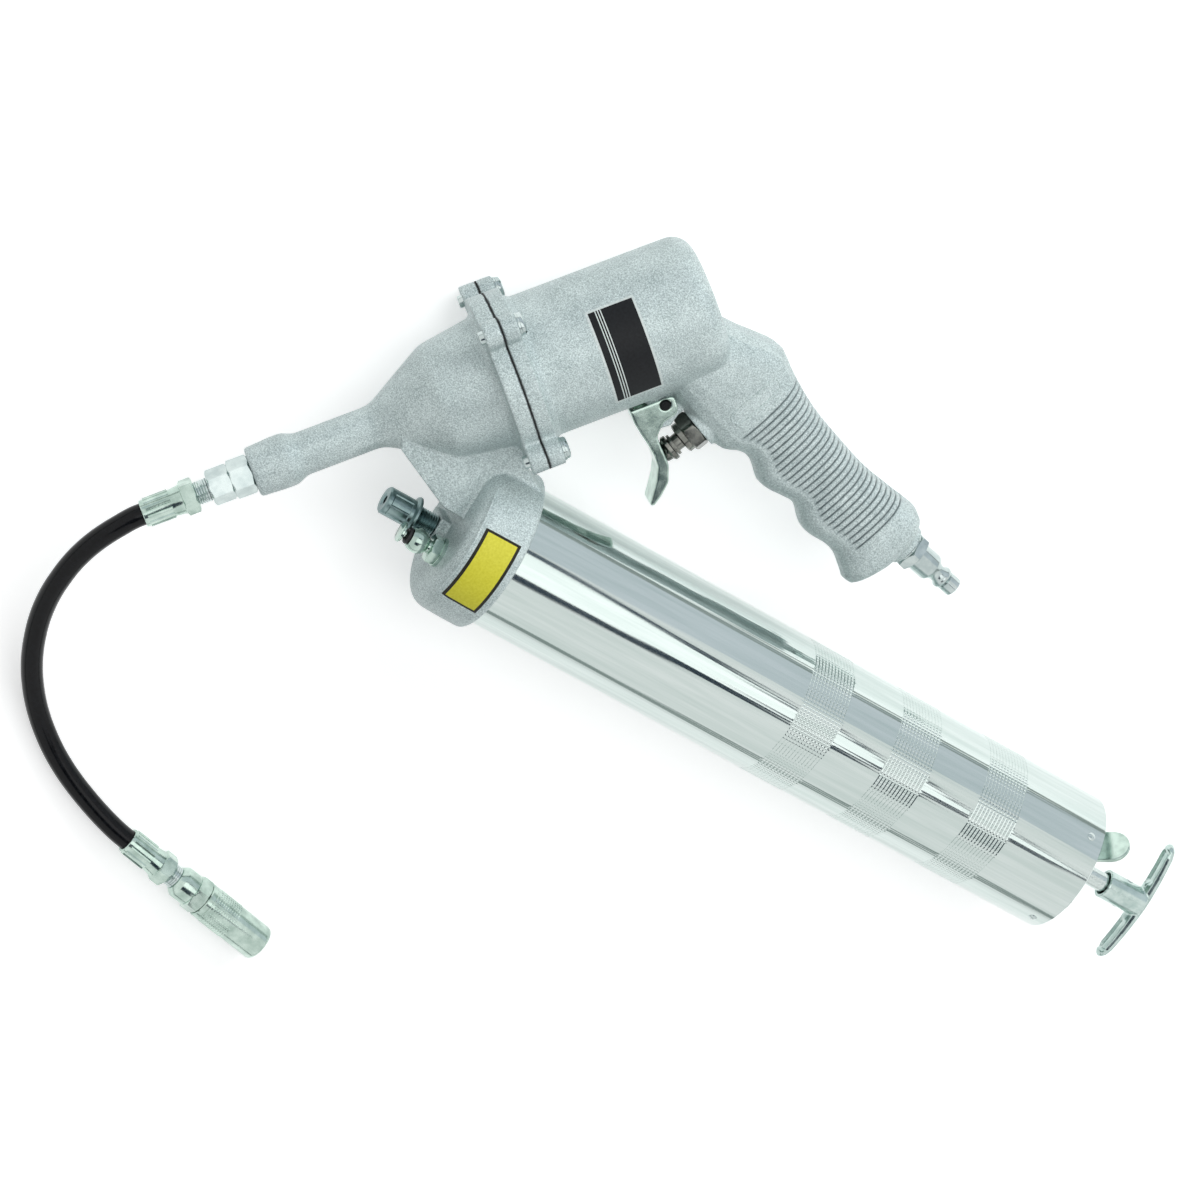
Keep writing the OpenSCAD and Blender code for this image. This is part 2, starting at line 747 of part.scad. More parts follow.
// Check valve and outlet adapter

module check_ball() {
    color("silver") motor_axis() translate([0, 0, check_ball_z]) sphere(d = check_ball_d);
}

module check_spring() {
    front = adapter_end - spring_pocket + 0.1;
    color("silver") motor_axis() translate([0, 0, front])
        coil(2, 0.35, check_ball_back - 0.1 - front, 4);
}

module outlet_adapter() {
    color("silver") motor_axis() difference() {
        union() {
            translate([0, 0, -nose_reach - 1])
                cylinder(r = outlet_thread_r - 0.1, h = nose_reach + adapter_end + 1);
            translate([0, 0, -nose_reach - adapter_a_len]) hex_bar(adapter_hex_a, adapter_a_len);
            translate([0, 0, adapter_front]) rotate([0, 0, adapter_turn])
                hex_bar(adapter_hex_b, adapter_b_len);
        }
        translate([0, 0, adapter_front - cut]) cylinder(r = 1.6, h = -adapter_front);
        translate([0, 0, adapter_front - cut]) cylinder(r = adapter_bore_r, h = end_stem_in + cut + 0.5);
        translate([0, 0, adapter_end - spring_pocket]) cylinder(r = 2.8, h = spring_pocket + cut);
    }
}

// Trigger and air valve

module trigger() {
    inner = [for (p = trigger_front_edge) [p.x + trigger_sheet + 0.4, p.y]];
    color("honeydew") motor_plane() translate(pivot_place) difference() {
        linear_extrude(trigger_w, center = true)
            polygon(rounded(concat(trigger_front_edge, trigger_back_edge)));
        linear_extrude(trigger_w - 2 * trigger_sheet, center = true)
            polygon(concat(
                [[inner[0].x, trigger_top + cut]], inner,
                [trigger_hollow, [trigger_hollow.x, trigger_top + cut]]
            ));
        translate([0, 0, -trigger_w]) cylinder(r = pivot_r + running_gap, h = 2 * trigger_w);
    }
}

module trigger_pin() {
    color("black") motor_plane() translate([pivot_place.x, pivot_place.y, -trigger_w / 2 - 0.6])
        cylinder(r = pivot_r, h = trigger_w + 1.2);
}

module valve_body() {
    color("gray") valve_axis() difference() {
        union() {
            translate([0, 0, -valve_shank_len]) cylinder(r = valve_shank_r, h = valve_shank_len + 1);
            rotate([0, 0, 30]) hex_bar(valve_hex, valve_hex_t);
            translate([0, 0, valve_hex_t - 1]) rotate_extrude() polygon([
                [0, 0], [6.2, 0], [6.2, valve_nut_t + 0.2], [5.4, valve_nut_t + 1], [0, valve_nut_t + 1]
            ]);
        }
        translate([0, 0, -valve_shank_len - cut])
            cylinder(r = stem_r + running_gap, h = valve_shank_len + valve_top + 2 * cut);
        translate([0, 0, valve_top - valve_travel - 1.2])
            cylinder(r = stem_neck_r + running_gap, h = valve_travel + 1.2 + cut);
    }
}

module valve_stem() {
    color("dimgray") valve_axis() {
        translate([0, 0, poppet_back]) cylinder(r = stem_r, h = stem_tip - 1 - poppet_back);
        translate([0, 0, poppet_back]) cylinder(r = poppet_r, h = poppet_t);
        translate([0, 0, valve_top - 1]) cylinder(r = stem_neck_r, h = stem_tip - valve_top);
        translate([0, 0, stem_disc_z]) cylinder(r = 4.5, h = stem_disc_t);
        translate([0, 0, stem_tip - stem_knob_t]) rotate_extrude() polygon(rounded([
            [0, 0], [stem_grip_r, 0, 0.4], [stem_grip_r, 2.1, 0.5], [stem_knob_r, 2.5],
            each [for (r = [stem_knob_r - 0.5:-0.6:0.3])
                [r, stem_knob_t - stem_dome_r + sqrt(pow(stem_dome_r, 2) - r * r)]],
            [0, stem_knob_t]
        ]));
    }
}

module valve_spring() {
    length = valve_chamber_end + poppet_back - 0.2;
    color("silver") valve_axis() translate([0, 0, -valve_chamber_end + 0.1])
        coil(3, 0.5, length, 5);
}

// Air plug with its ball-lock groove
module air_plug() {
    color("silver") plug_axis() difference() {
        union() {
            translate([0, 0, -plug_shank_len + 0.5]) cylinder(r = plug_shank_r, h = plug_shank_len);
            translate([0, 0, 0.3]) ring(plug_hex / 2, 2, 0.8);
            translate([0, 0, 1]) hex_bar(plug_hex, 4.2);
            rotate_extrude() polygon(rounded([
                [0, 0], [5.7, 0], [5.7, 13.4], [3.9, 15.6], [3.5, 17.4], [3.6, 18], [4.5, 19.2, 0.6],
                [4.4, 20.4], [plug_nose_d / 2 - 0.5, 21.2], [plug_nose_d / 2, 21.6],
                [plug_nose_d / 2, 26], [plug_nose_d / 2 - 0.5, 26.5], [0, 26.5]
            ]));
        }
        translate([0, 0, -plug_shank_len - cut]) cylinder(r = 2.4, h = 60);
    }
}

// Barrel

// Outside profile of the grip bands: V grooves at an even pitch
function band_profile() = [
    for (b = [0:2]) for (i = [0:band_grooves - 1])
        let(x = band_start + b * band_pitch + (i + 0.5) * band_len / band_grooves)
        each [[barrel_r, x - groove_w / 2], [barrel_r - groove_depth, x], [barrel_r, x + groove_w / 2]]
];

module barrel_tube() {
    color("whitesmoke") barrel_axis() difference() {
        rotate_extrude() polygon(concat(
            [[barrel_in_r, barrel_front], [barrel_r, barrel_front]], band_profile(),
            [[barrel_r, barrel_rear], [barrel_in_r, barrel_rear]]
        ));
        at_rivets() cylinder(d = rivet_shank_d, h = barrel_r + cut);
    }
}

module at_rivets() {
    for (a = rivet_angles)
        translate([0, 0, rivet_station]) rotate([0, 0, a]) rotate([-90, 0, 0]) children();
}

module barrel_gasket() {
    color("dimgray") barrel_axis() translate([0, 0, socket_floor])
        ring(barrel_r, barrel_in_r - 1, barrel_gasket_t);
}

module barrel_end_cap() {
    color("silver") barrel_axis() difference() {
        union() {
            translate([0, 0, end_cap_front]) cylinder(r = barrel_in_r - 0.05, h = end_cap_t);
            translate([0, 0, end_cap_back - end_cap_skirt])
                ring(barrel_in_r - 0.05, barrel_in_r - 1.3, end_cap_skirt);
            translate([0, 0, end_cap_back - 5]) cylinder(r = rod_r + 2.4, h = 5);
        }
        translate([0, 0, end_cap_back - 10]) cylinder(r = rod_r + running_gap, h = 20);
        at_rivets() cylinder(d = rivet_shank_d, h = barrel_r + cut);
    }
}

module cap_rivets() {
    color("silver") barrel_axis() at_rivets() {
        translate([0, 0, barrel_in_r - 1.6]) cylinder(d = rivet_shank_d, h = barrel_wall + 1.6);
        translate([0, 0, barrel_r - 0.05]) rotate_extrude()
            polygon([[0, 0], [rivet_d / 2, 0], [rivet_d / 2 - 0.3, 0.35], [0.6, 0.6], [0, 0.6]]);
    }
}

// Follower, rod and T-handle

module follower_cup() {
    color("dimgray") barrel_axis() translate([0, 0, follower_front]) difference() {
        cylinder(r = cup_r, h = cup_t);
        translate([0, 0, cup_floor]) cylinder(r = cup_r - 2.2, h = cup_t);
        translate([0, 0, -cut]) cylinder(r = rod_r + running_gap, h = cup_t);
    }
}

module follower_plate() {
    color("silver") barrel_axis() translate([0, 0, plate_front]) {
        ring(cup_r - 2.5, rod_r + running_gap, plate_t);
        ring(rod_r + 3, rod_r + running_gap, plate_t + 4);
    }
}

module follower_spring() {
    color("silver") barrel_axis() translate([0, 0, follower_spring_front + 0.1])
        coil(follower_spring_r, 1.3, end_cap_front - follower_spring_front - 0.2, 14, 12);
}

// The rod's groove meets the latch when the rod is pulled out by its full travel
module follower_rod() {
    groove_x = latch_x + latch_t / 2 - rod_travel;
    color("lightsteelblue") barrel_axis() difference() {
        translate([0, 0, rod_front]) cylinder(r = rod_r, h = hub_front + hub_len - rod_front);
        translate([0, 0, groove_x - 1.5]) ring(rod_r + cut, rod_r - 0.7, 3);
        handle_pin_hole();
    }
}

module handle_pin_hole() {
    translate([0, -hub_d, handle_pin_x]) rotate([-90, 0, 0]) cylinder(r = pin_r, h = 2 * hub_d);
}

// Section of the handle's bowed arms at y, drawn in towards the two tips
function arm_ring(y) =
    let(e = abs(y) / (handle_span / 2), taper = sqrt(max(0.02, 1 - pow(max(0, (e - 0.82) / 0.18), 2))))
    let(x = handle_x - handle_bow * e * e, half_t = (arm_t / 2) * (1 - 0.15 * e) * taper)
    let(half_w = (arm_w / 2) * (1 - 0.12 * e) * taper)
    [for (k = [0:11]) [x + half_t * cos(30 * k), y, -half_w * sin(30 * k)]];

module t_handle() {
    stations = [-1, -0.97, -0.92, -0.82, -0.6, -0.4, -0.2, 0, 0.2, 0.4, 0.6, 0.82, 0.92, 0.97, 1];
    color("honeydew") difference() {
        union() {
            gun() loft([for (s = stations) arm_ring(s * handle_span / 2)]);
            barrel_axis() translate([0, 0, hub_front])
                cylinder(d = hub_d, h = handle_x - hub_front);
        }
        barrel_axis() {
            translate([0, 0, hub_front - cut]) cylinder(r = rod_r, h = hub_len + cut);
            translate([0, 0, hub_front - cut]) cylinder(r = rod_r + 0.8, h = hub_recess + cut);
            handle_pin_hole();
        }
    }
}

module handle_pin() {
    color("silver") barrel_axis() translate([0, -hub_d / 2, handle_pin_x])
        rotate([-90, 0, 0]) cylinder(r = pin_r, h = hub_d);
}

// Latch lever: plate round the rod, heel on the end cap, and a bent thumb tab
module latch_lever() {
    color("silver") latch_plane() difference() {
        union() {
            translate([latch_x, -latch_heel, -latch_w / 2])
                cube([latch_t, latch_heel + latch_bend, latch_w]);
            translate([end_cap_back + latch_foot_gap + latch_foot_r, 0, -latch_w / 2 + 3]) {
                translate([0, -latch_heel, 0])
                    cube([latch_x - end_cap_back - latch_foot_gap, 2 * latch_foot_r, latch_w - 6]);
                translate([0, latch_foot_r - latch_heel, 0]) cylinder(r = latch_foot_r, h = latch_w - 6);
            }
            translate([latch_x, latch_bend - 0.01, 0]) rotate([0, 0, -latch_tab_angle]) {
                translate([0, 0, -latch_w / 2]) cube([latch_t, latch_tab_len - latch_w / 2, latch_w]);
                translate([0, latch_tab_len - latch_w / 2, 0]) rotate([0, 90, 0])
                    cylinder(d = latch_w, h = latch_t);
            }
        }
        rotate([0, 90, 0]) translate([0, 0, latch_x - 3]) cylinder(r = latch_hole_r, h = latch_t + 6);
    }
}

module latch_spring() {
    color("silver") barrel_axis() translate([0, 0, end_cap_back + 0.05])
        coil(rod_r + 1.2, 0.4, latch_x - end_cap_back - 0.1, 2);
}

// Filler fitting and bleeder valve

module filler_fitting() {
    barrel_len = filler_collar - filler_tip;
    color("silver") gun() translate([0, filler_y, 0]) rotate([0, 90, 0]) difference() {
        union() {
            translate([0, 0, filler_tip]) rotate_extrude() polygon([
                [0, 0], [filler_d / 2 - 0.6, 0], [filler_d / 2, 0.6], [filler_d / 2, barrel_len],
                [filler_collar_r, barrel_len + 0.6], [filler_collar_r, barrel_len + 1.6],
                [filler_stem_r, barrel_len + 3], [0, barrel_len + 3]
            ]);
            translate([0, 0, filler_collar]) cylinder(r = filler_stem_r, h = socket_floor - filler_collar);
        }
        translate([0, 0, filler_tip - cut]) cylinder(r = 1.6, h = socket_floor);
        translate([0, 0, filler_tip - 0.5]) cylinder(r1 = 2.9, r2 = 1.6, h = 1.8);
    }
}

module bleeder_frame() {
    gun() translate([0, bleeder_place[0], bleeder_place[1]]) rotate([0, 90, 0]) children();
}

module bleeder_body() {
    color("honeydew") bleeder_frame() difference() {
        union() {
            translate([0, 0, cap_front - bleeder_hex_t]) hex_bar(bleeder_hex, bleeder_hex_t);
            translate([0, 0, bleeder_ball_x]) sphere(r = bleeder_ball_r);
            translate([0, 0, bleeder_ball_x]) cylinder(r = 2.5, h = socket_floor - bleeder_ball_x);
        }
        translate([0, 0, bleeder_flat_x - 2 * bleeder_ball_r])
            cylinder(r = bleeder_ball_r, h = 2 * bleeder_ball_r);
        translate([0, 0, bleeder_tip]) cylinder(r = button_stem_r + running_gap, h = 40);
    }
}

module bleeder_button() {
    color("honeydew") bleeder_frame() translate([0, 0, bleeder_tip]) {
        cylinder(r = 4.1, h = bleeder_cap_t);
        cylinder(r = button_stem_r, h = button_len);
    }
}

module bleeder_seal() {
    color("black") bleeder_frame() translate([0, 0, bleeder_seal_x])
        rotate_extrude() translate([2.6, 0]) circle(r = bleeder_seal_r, $fn = 20);
}

module bleeder_spring() {
    front = bleeder_tip + button_len + 0.1;
    color("silver") bleeder_frame() translate([0, 0, front])
        coil(0.9, 0.25, socket_floor - front - 1, 4, 8);
}

// Delivery hose and its end fittings

// Ring of points round the route's point i, square to the route there
function hose_ring(i) =
    let(n = len(hose_route), a = hose_route[max(i - 1, 0)], b = hose_route[min(i + 1, n - 1)])
    let(way = unit(b - a), side = unit(cross(way, [0, 0, 1])), up = cross(side, way))
    [for (k = [0:hose_sides - 1])
        let(c = 360 * k / hose_sides)
        hose_route[i] + hose_d / 2 * (side * cos(c) - up * sin(c))];

module hose() {
    color("black") gun() loft([for (i = [0:len(hose_route) - 1]) hose_ring(i)]);
}

// Crimped ferrule, from the hose's end at z = 0: a fluted shell that tapers up to a hexagon
module ferrule() {
    crimp_len = 12.6;
    difference() {
        union() {
            cylinder(d = ferrule_d, h = crimp_len, $fn = 12);
            translate([0, 0, crimp_len]) cylinder(d1 = ferrule_d, d2 = ferrule_hex, h = 3.2);
            translate([0, 0, crimp_len + 3.2]) hex_bar(ferrule_hex, ferrule_len - crimp_len - 3.2);
        }
        translate([0, 0, -cut]) cylinder(r = 1.7, h = ferrule_len + 2 * cut);
    }
}

// Threaded end of the hose's stem, from the ferrule's face at z = 0
module hose_end(length) {
    difference() {
        cylinder(r = end_thread_r, h = length);
        translate([0, 0, -cut]) cylinder(r = 1.6, h = length + 2 * cut);
    }
}

// Frame of the inlet ferrule: z runs from the hose towards the nose
module inlet_axis() {
    motor_axis() translate([0, 0, adapter_front - end_thread_len - ferrule_len]) children();
}

module hose_end_inlet() {
    color("silver") inlet_axis() translate([0, 0, ferrule_len]) hose_end(end_thread_len + end_stem_in);
}

module ferrule_inlet() {
    color("honeydew") inlet_axis() ferrule();
}

module ferrule_outlet() {
    color("honeydew") coupler_axis() ferrule();
}

module hose_end_outlet() {
    color("silver") coupler_axis() translate([0, 0, ferrule_len])
        hose_end(coupler_nose_len + end_stem_in);
}

module coupler_body() {
    color("honeydew") coupler_axis() difference() {
        union() {
            translate([0, 0, coupler_back]) cylinder(d1 = 10.6, d2 = coupler_collar_d, h = 2);
            translate([0, 0, coupler_back + 2])
                cylinder(d = coupler_collar_d, h = coupler_collar_len - 7.4);
            translate([0, 0, sleeve_back - 5.6]) rotate([0, 0, 30]) hex_bar(coupler_collar_d, 5.6);
            translate([0, 0, sleeve_back - 1]) cylinder(r = sleeve_bore_r - 0.1, h = 13);
        }
        translate([0, 0, coupler_back - cut]) cylinder(r = end_thread_r + 0.1, h = end_stem_in + cut + 0.5);
        translate([0, 0, coupler_back - cut]) cylinder(r = 1.8, h = 40);
    }
}

module coupler_sleeve() {
    color("honeydew") coupler_axis() translate([0, 0, sleeve_back]) difference() {
        rotate_extrude() polygon(rounded([
            [0, 0], [coupler_d / 2, 0, 0.4], [coupler_d / 2, sleeve_len, 1.2], [0, sleeve_len]
        ]));
        translate([0, 0, -cut]) cylinder(r = sleeve_bore_r, h = sleeve_len - sleeve_lip + cut);
        cylinder(r = coupler_mouth_r, h = sleeve_len + cut);
    }
}

module coupler_jaws() {
    color("silver") coupler_axis() translate([0, 0, jaw_back]) difference() {
        ring(sleeve_bore_r - 0.1, coupler_mouth_r, jaw_len);
        for (a = [0:120:240])
            rotate([0, 0, a]) translate([0, -0.4, -cut]) cube([coupler_d, 0.8, jaw_len + 2 * cut]);
    }
}

module coupler_seal() {
    color("dimgray") coupler_axis() translate([0, 0, sleeve_back + 12.1])
        ring(sleeve_bore_r - 0.1, 1.6, jaw_back - sleeve_back - 12.2);
}

front_housing();
motor_housing();
flange_gasket();
flange_screws();
lock_washers();
air_piston();
piston_seal();
pump_plunger();
plunger_packing();
return_spring();
check_ball();
check_spring();
outlet_adapter();
trigger();
trigger_pin();
valve_body();
valve_stem();
valve_spring();
air_plug();
barrel_tube();
barrel_gasket();
barrel_end_cap();
cap_rivets();
follower_cup();
follower_plate();
follower_spring();
follower_rod();
t_handle();
handle_pin();
latch_lever();
latch_spring();
filler_fitting();
bleeder_body();
bleeder_button();
bleeder_seal();
bleeder_spring();
hose_end_inlet();
ferrule_inlet();
hose();
ferrule_outlet();
hose_end_outlet();
coupler_body();
coupler_sleeve();
coupler_jaws();
coupler_seal();
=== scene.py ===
"""Looks of an air-powered grease gun with a pistol grip, lying on its side.

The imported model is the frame. Each operator below makes one piece, or a group of like pieces,
in the place that the frame gives it. Sizes are in millimetres in local frames that sit on the
gun's own axes, and become metres when a mesh is placed.
"""

import math

import bmesh
import bpy
from mathutils import Matrix, Vector
from mathutils.bvhtree import BVHTree


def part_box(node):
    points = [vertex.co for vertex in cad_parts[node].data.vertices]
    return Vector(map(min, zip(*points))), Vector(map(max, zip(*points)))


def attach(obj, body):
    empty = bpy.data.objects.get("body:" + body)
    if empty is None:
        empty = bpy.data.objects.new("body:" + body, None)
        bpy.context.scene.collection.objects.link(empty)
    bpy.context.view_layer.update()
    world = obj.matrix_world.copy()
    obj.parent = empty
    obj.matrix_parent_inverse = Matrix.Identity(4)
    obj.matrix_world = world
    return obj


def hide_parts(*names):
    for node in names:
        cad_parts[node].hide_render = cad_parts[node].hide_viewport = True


bl_info = {
    "name": "Air grease gun",
    "version": (1, 0, 0),
    "blender": (4, 5, 0),
    "location": "3D View > Sidebar > Grease gun",
    "description": "Makes the pieces, finishes and studio of an air-powered grease gun",
    "category": "Add Mesh",
}

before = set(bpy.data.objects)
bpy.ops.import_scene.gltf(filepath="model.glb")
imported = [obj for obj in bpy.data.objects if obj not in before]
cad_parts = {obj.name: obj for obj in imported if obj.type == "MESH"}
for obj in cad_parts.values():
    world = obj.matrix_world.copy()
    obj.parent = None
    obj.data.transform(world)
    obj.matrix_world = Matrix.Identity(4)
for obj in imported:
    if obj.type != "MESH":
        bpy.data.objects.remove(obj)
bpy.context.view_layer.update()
MILLIMETRE = 0.001

# Millimetres, with stations along the barrel from the point where its axis crosses the motor's
BARREL_FRONT = 70
MOTOR_RADIUS = 27.3
CAP_RADIUS = 32.3
DRIVE_ANGLE = 51

# Grooves of the grip, from its upper end, and the grip's middle line
GROOVE_START = 28
GROOVE_PITCH = 2.45
GROOVE_WIDTH = 0.9
GROOVE_COUNT = 27
GRIP_MIDDLE = 4.2


# Frames


def turn(degrees, axis):
    return Matrix.Rotation(math.radians(degrees), 4, axis)


def shift(x, y=0, z=0):
    return Matrix.Translation((x, y, z))


barrel_low, barrel_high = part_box("barrel_tube")
barrel_middle = (barrel_low + barrel_high) / 2
CROSSING = (barrel_low.x - BARREL_FRONT * MILLIMETRE, barrel_middle.y, barrel_middle.z)
ALONG_Z = turn(90, "Y")
GUN = Matrix.Translation(CROSSING) @ Matrix.Scale(MILLIMETRE, 4)
MOTOR = GUN @ turn(DRIVE_ANGLE, "Z")
MOTOR_AXIS = MOTOR @ ALONG_Z
BARREL_AXIS = GUN @ ALONG_Z
GRIP = MOTOR @ shift(145.4, -23.6) @ turn(-66, "Z")
VALVE_AXIS = GRIP @ shift(16.2, -16) @ turn(-94.5, "Z") @ ALONG_Z
PLUG_AXIS = GRIP @ shift(110.3, 9.1) @ turn(4, "Z") @ ALONG_Z
INLET_AXIS = MOTOR_AXIS @ shift(0, 0, -67)
COUPLER_AXIS = GUN @ shift(25.2, -174.4, -24.9) @ turn(-11.4, "Z") @ ALONG_Z
FILLER_AXIS = GUN @ shift(0, -3.5) @ ALONG_Z
BLEEDER_AXIS = GUN @ shift(0, -9, 10.6) @ ALONG_Z

# Middle of the hose, point by point, in the gun's frame
HOSE_ROUTE = (
    (-42.2, -52.1, 0), (-44.3, -54.9, -0.1), (-47.0, -60.1, -1.0), (-49.5, -65.7, -2.3),
    (-51.5, -71.5, -3.9), (-52.9, -77.6, -5.8), (-53.7, -84.0, -7.9), (-53.9, -90.6, -9.9),
    (-53.6, -97.3, -12.2), (-52.6, -104.1, -14.6), (-51.0, -110.8, -16.8),
    (-48.7, -117.5, -18.9), (-45.9, -124.0, -21.0), (-42.5, -130.3, -22.9),
    (-38.5, -136.3, -24.7), (-34.0, -142.0, -26.2), (-29.0, -147.3, -27.3),
    (-23.5, -152.2, -27.8), (-17.6, -156.7, -27.9), (-11.3, -160.7, -27.8),
    (-4.7, -164.2, -27.5), (2.1, -167.2, -26.9), (9.1, -169.9, -26.2), (16.2, -172.2, -25.4),
    (21.0, -173.5, -25.0), (25.2, -174.4, -24.9),
)


# Colours and nodes


def linear(code):
    """Linear colour of an sRGB hex code."""
    channels = [int(code[i:i + 2], 16) / 255 for i in (1, 3, 5)]
    return [c / 12.92 if c <= 0.04045 else ((c + 0.055) / 1.055) ** 2.4 for c in channels] + [1]


def feed(node, inputs):
    """Sets or links inputs of a node."""
    for key, value in inputs.items():
        if isinstance(value, bpy.types.NodeSocket):
            node.id_data.links.new(value, node.inputs[key])
        else:
            node.inputs[key].default_value = value


def add(tree, kind, inputs=None, **settings):
    """Outputs of a new node of that kind, with its settings made and its inputs fed."""
    node = tree.nodes.new(kind)
    for name, value in settings.items():
        setattr(node, name, value)
    feed(node, inputs or {})
    return node.outputs


def worked_out(tree, known, sums):
    """Sockets by name, with one more for each sum of (name, operation, terms)."""
    for name, operation, *terms in sums:
        known[name] = add(tree, "ShaderNodeMath", {
            k: known.get(term, term) for k, term in enumerate(terms)}, operation=operation)[0]
    return known


def new_finish(name, **constants):
    """Material with its Principled shader set, as (material, tree, shader, object coordinates)."""
    material = bpy.data.materials.new(name)
    material.use_nodes = True
    tree = material.node_tree
    shader = tree.nodes["Principled BSDF"]
    feed(shader, {key.replace("_", " "): value for key, value in constants.items()})
    return material, tree, shader, add(tree, "ShaderNodeTexCoord")["Object"]


def grain(tree, place, size, detail=2, roughness=0.5, stretch=(1, 1, 1)):
    """Noise whose features are about size millimetres across, stretched along the axes."""
    scale = [share / (size * MILLIMETRE) for share in stretch]
    spot = add(tree, "ShaderNodeMapping", {"Vector": place, "Scale": scale})[0]
    return add(tree, "ShaderNodeTexNoise", {
        "Vector": spot, "Scale": 1.0, "Detail": detail, "Roughness": roughness})["Fac"]


def mottled(tree, marks, low, high, dark, light):
    """Colour from dark to light as the marks go from low to high."""
    share = add(tree, "ShaderNodeMapRange", {0: marks, 1: low, 2: high})[0]
    return add(tree, "ShaderNodeMix", {
        0: share, 6: linear(dark), 7: linear(light)}, data_type="RGBA")[2]


def coat(shader, colour, marks, rough, height=None, depth=0.0, strength=0.0):
    """Gives a shader a colour, a roughness that follows the marks, and a relief in millimetres."""
    tree = shader.id_data
    feed(shader, {"Base Color": colour, "Roughness": add(tree, "ShaderNodeMapRange", {
        0: marks, 1: 0.3, 2: 0.7, 3: rough[0], 4: rough[1]})[0]})
    if depth:
        feed(shader, {"Normal": add(tree, "ShaderNodeBump", {
            "Height": height, "Distance": depth * MILLIMETRE, "Strength": strength})[0]})


# Finishes


def hammertone_paint():
    """Hammertone enamel on die-cast aluminium: silver flake under a finely pebbled coat."""
    material, tree, shader, place = new_finish("hammertone enamel, sprayed", Metallic=0.3)
    speckle = grain(tree, place, 0.5, 2, 0.6)
    drift = add(tree, "ShaderNodeMapRange", {
        0: grain(tree, place, 11), 1: 0.3, 2: 0.7, 3: -0.04, 4: 0.04})[0]
    both = add(tree, "ShaderNodeMath", {0: speckle, 1: drift})[0]
    # Painted shade: the bottoms of the grip's grooves are darkened towards dark grey, as shade
    # falls in them
    sunk = add(tree, "ShaderNodeAttribute", attribute_name="groove")["Fac"]
    shade = add(tree, "ShaderNodeMath", {0: sunk, 1: 0.85}, operation="MULTIPLY", use_clamp=True)[0]
    colour = add(tree, "ShaderNodeMix", {
        0: shade, 6: mottled(tree, both, 0.32, 0.68, "#93A4A5", "#DDEAE9"),
        7: linear("#3C4A4E")}, data_type="RGBA")[2]
    coat(shader, colour, speckle, (0.5, 0.38), speckle, 0.08, 0.5)
    return material


def bright_chrome():
    """Chrome plate on a polished drawn tube: a mirror with faint lengthwise draw lines."""
    material, tree, shader, place = new_finish("chrome plate, polished", Metallic=1.0)
    lines = grain(tree, place, 3, 3, 0.6, (0.04, 1, 1))
    waves = grain(tree, place, 14, 1, 0.4, (0.25, 1, 1))
    coat(shader, mottled(tree, lines, 0.35, 0.65, "#C2CFCB", "#D2DCD9"), lines, (0.07, 0.11),
         waves, 0.25, 0.5)
    return material


def zinc_plate(name, dark, light, rough):
    """Plate on machined or cast metal: a soft shine, a little uneven from the bath."""
    material, tree, shader, place = new_finish(name, Metallic=1.0)
    bath = grain(tree, place, 5, 3)
    coat(shader, mottled(tree, bath, 0.35, 0.65, dark, light), bath, rough,
         grain(tree, place, 1.4), 0.02, 0.4)
    return material


def drawn_steel(name, dark, light, rough):
    """Ground, drawn or turned metal: fine marks and an even colour."""
    material, tree, shader, place = new_finish(name, Metallic=1.0)
    marks = grain(tree, place, 0.4)
    coat(shader, mottled(tree, marks, 0.3, 0.7, dark, light), marks, rough)
    return material


def moulded_rubber(name, dark, light, rough, shine=0.5):
    """Moulded rubber or pressed fibre: near black, with a slight bloom."""
    material, tree, shader, place = new_finish(name, Specular_IOR_Level=shine)
    bloom = grain(tree, place, 1.6, 3)
    coat(shader, mottled(tree, bloom, 0.35, 0.65, dark, light), bloom, rough,
         grain(tree, place, 0.8), 0.02, 0.3)
    return material


def printed_foil(name, ground, line, along_lines, across_lines, roughness):
    """Foil label: a printed field with plain lines, laid out in millimetres of its UV map."""
    material, tree, shader, place = new_finish(name, Roughness=roughness, Specular_IOR_Level=0.25)
    flat = add(tree, "ShaderNodeUVMap", uv_map="Face")["UV"]
    sides = add(tree, "ShaderNodeSeparateXYZ", {"Vector": flat})
    lines = 0.0
    for side, edges in (("X", along_lines), ("Y", across_lines)):
        for low, high in edges:
            inside = add(tree, "ShaderNodeMath", {
                0: sides[side], 1: (low + high) / 2, 2: (high - low) / 2}, operation="COMPARE")[0]
            lines = add(tree, "ShaderNodeMath", {0: lines, 1: inside}, operation="MAXIMUM")[0]
    ink = grain(tree, place, 0.9, 3)
    feed(shader, {"Base Color": add(tree, "ShaderNodeMix", {
        0: lines, 6: mottled(tree, ink, 0.3, 0.7, *ground), 7: mottled(tree, ink, 0.3, 0.7, *line),
    }, data_type="RGBA")[2]})
    return material


FINISHES = {}


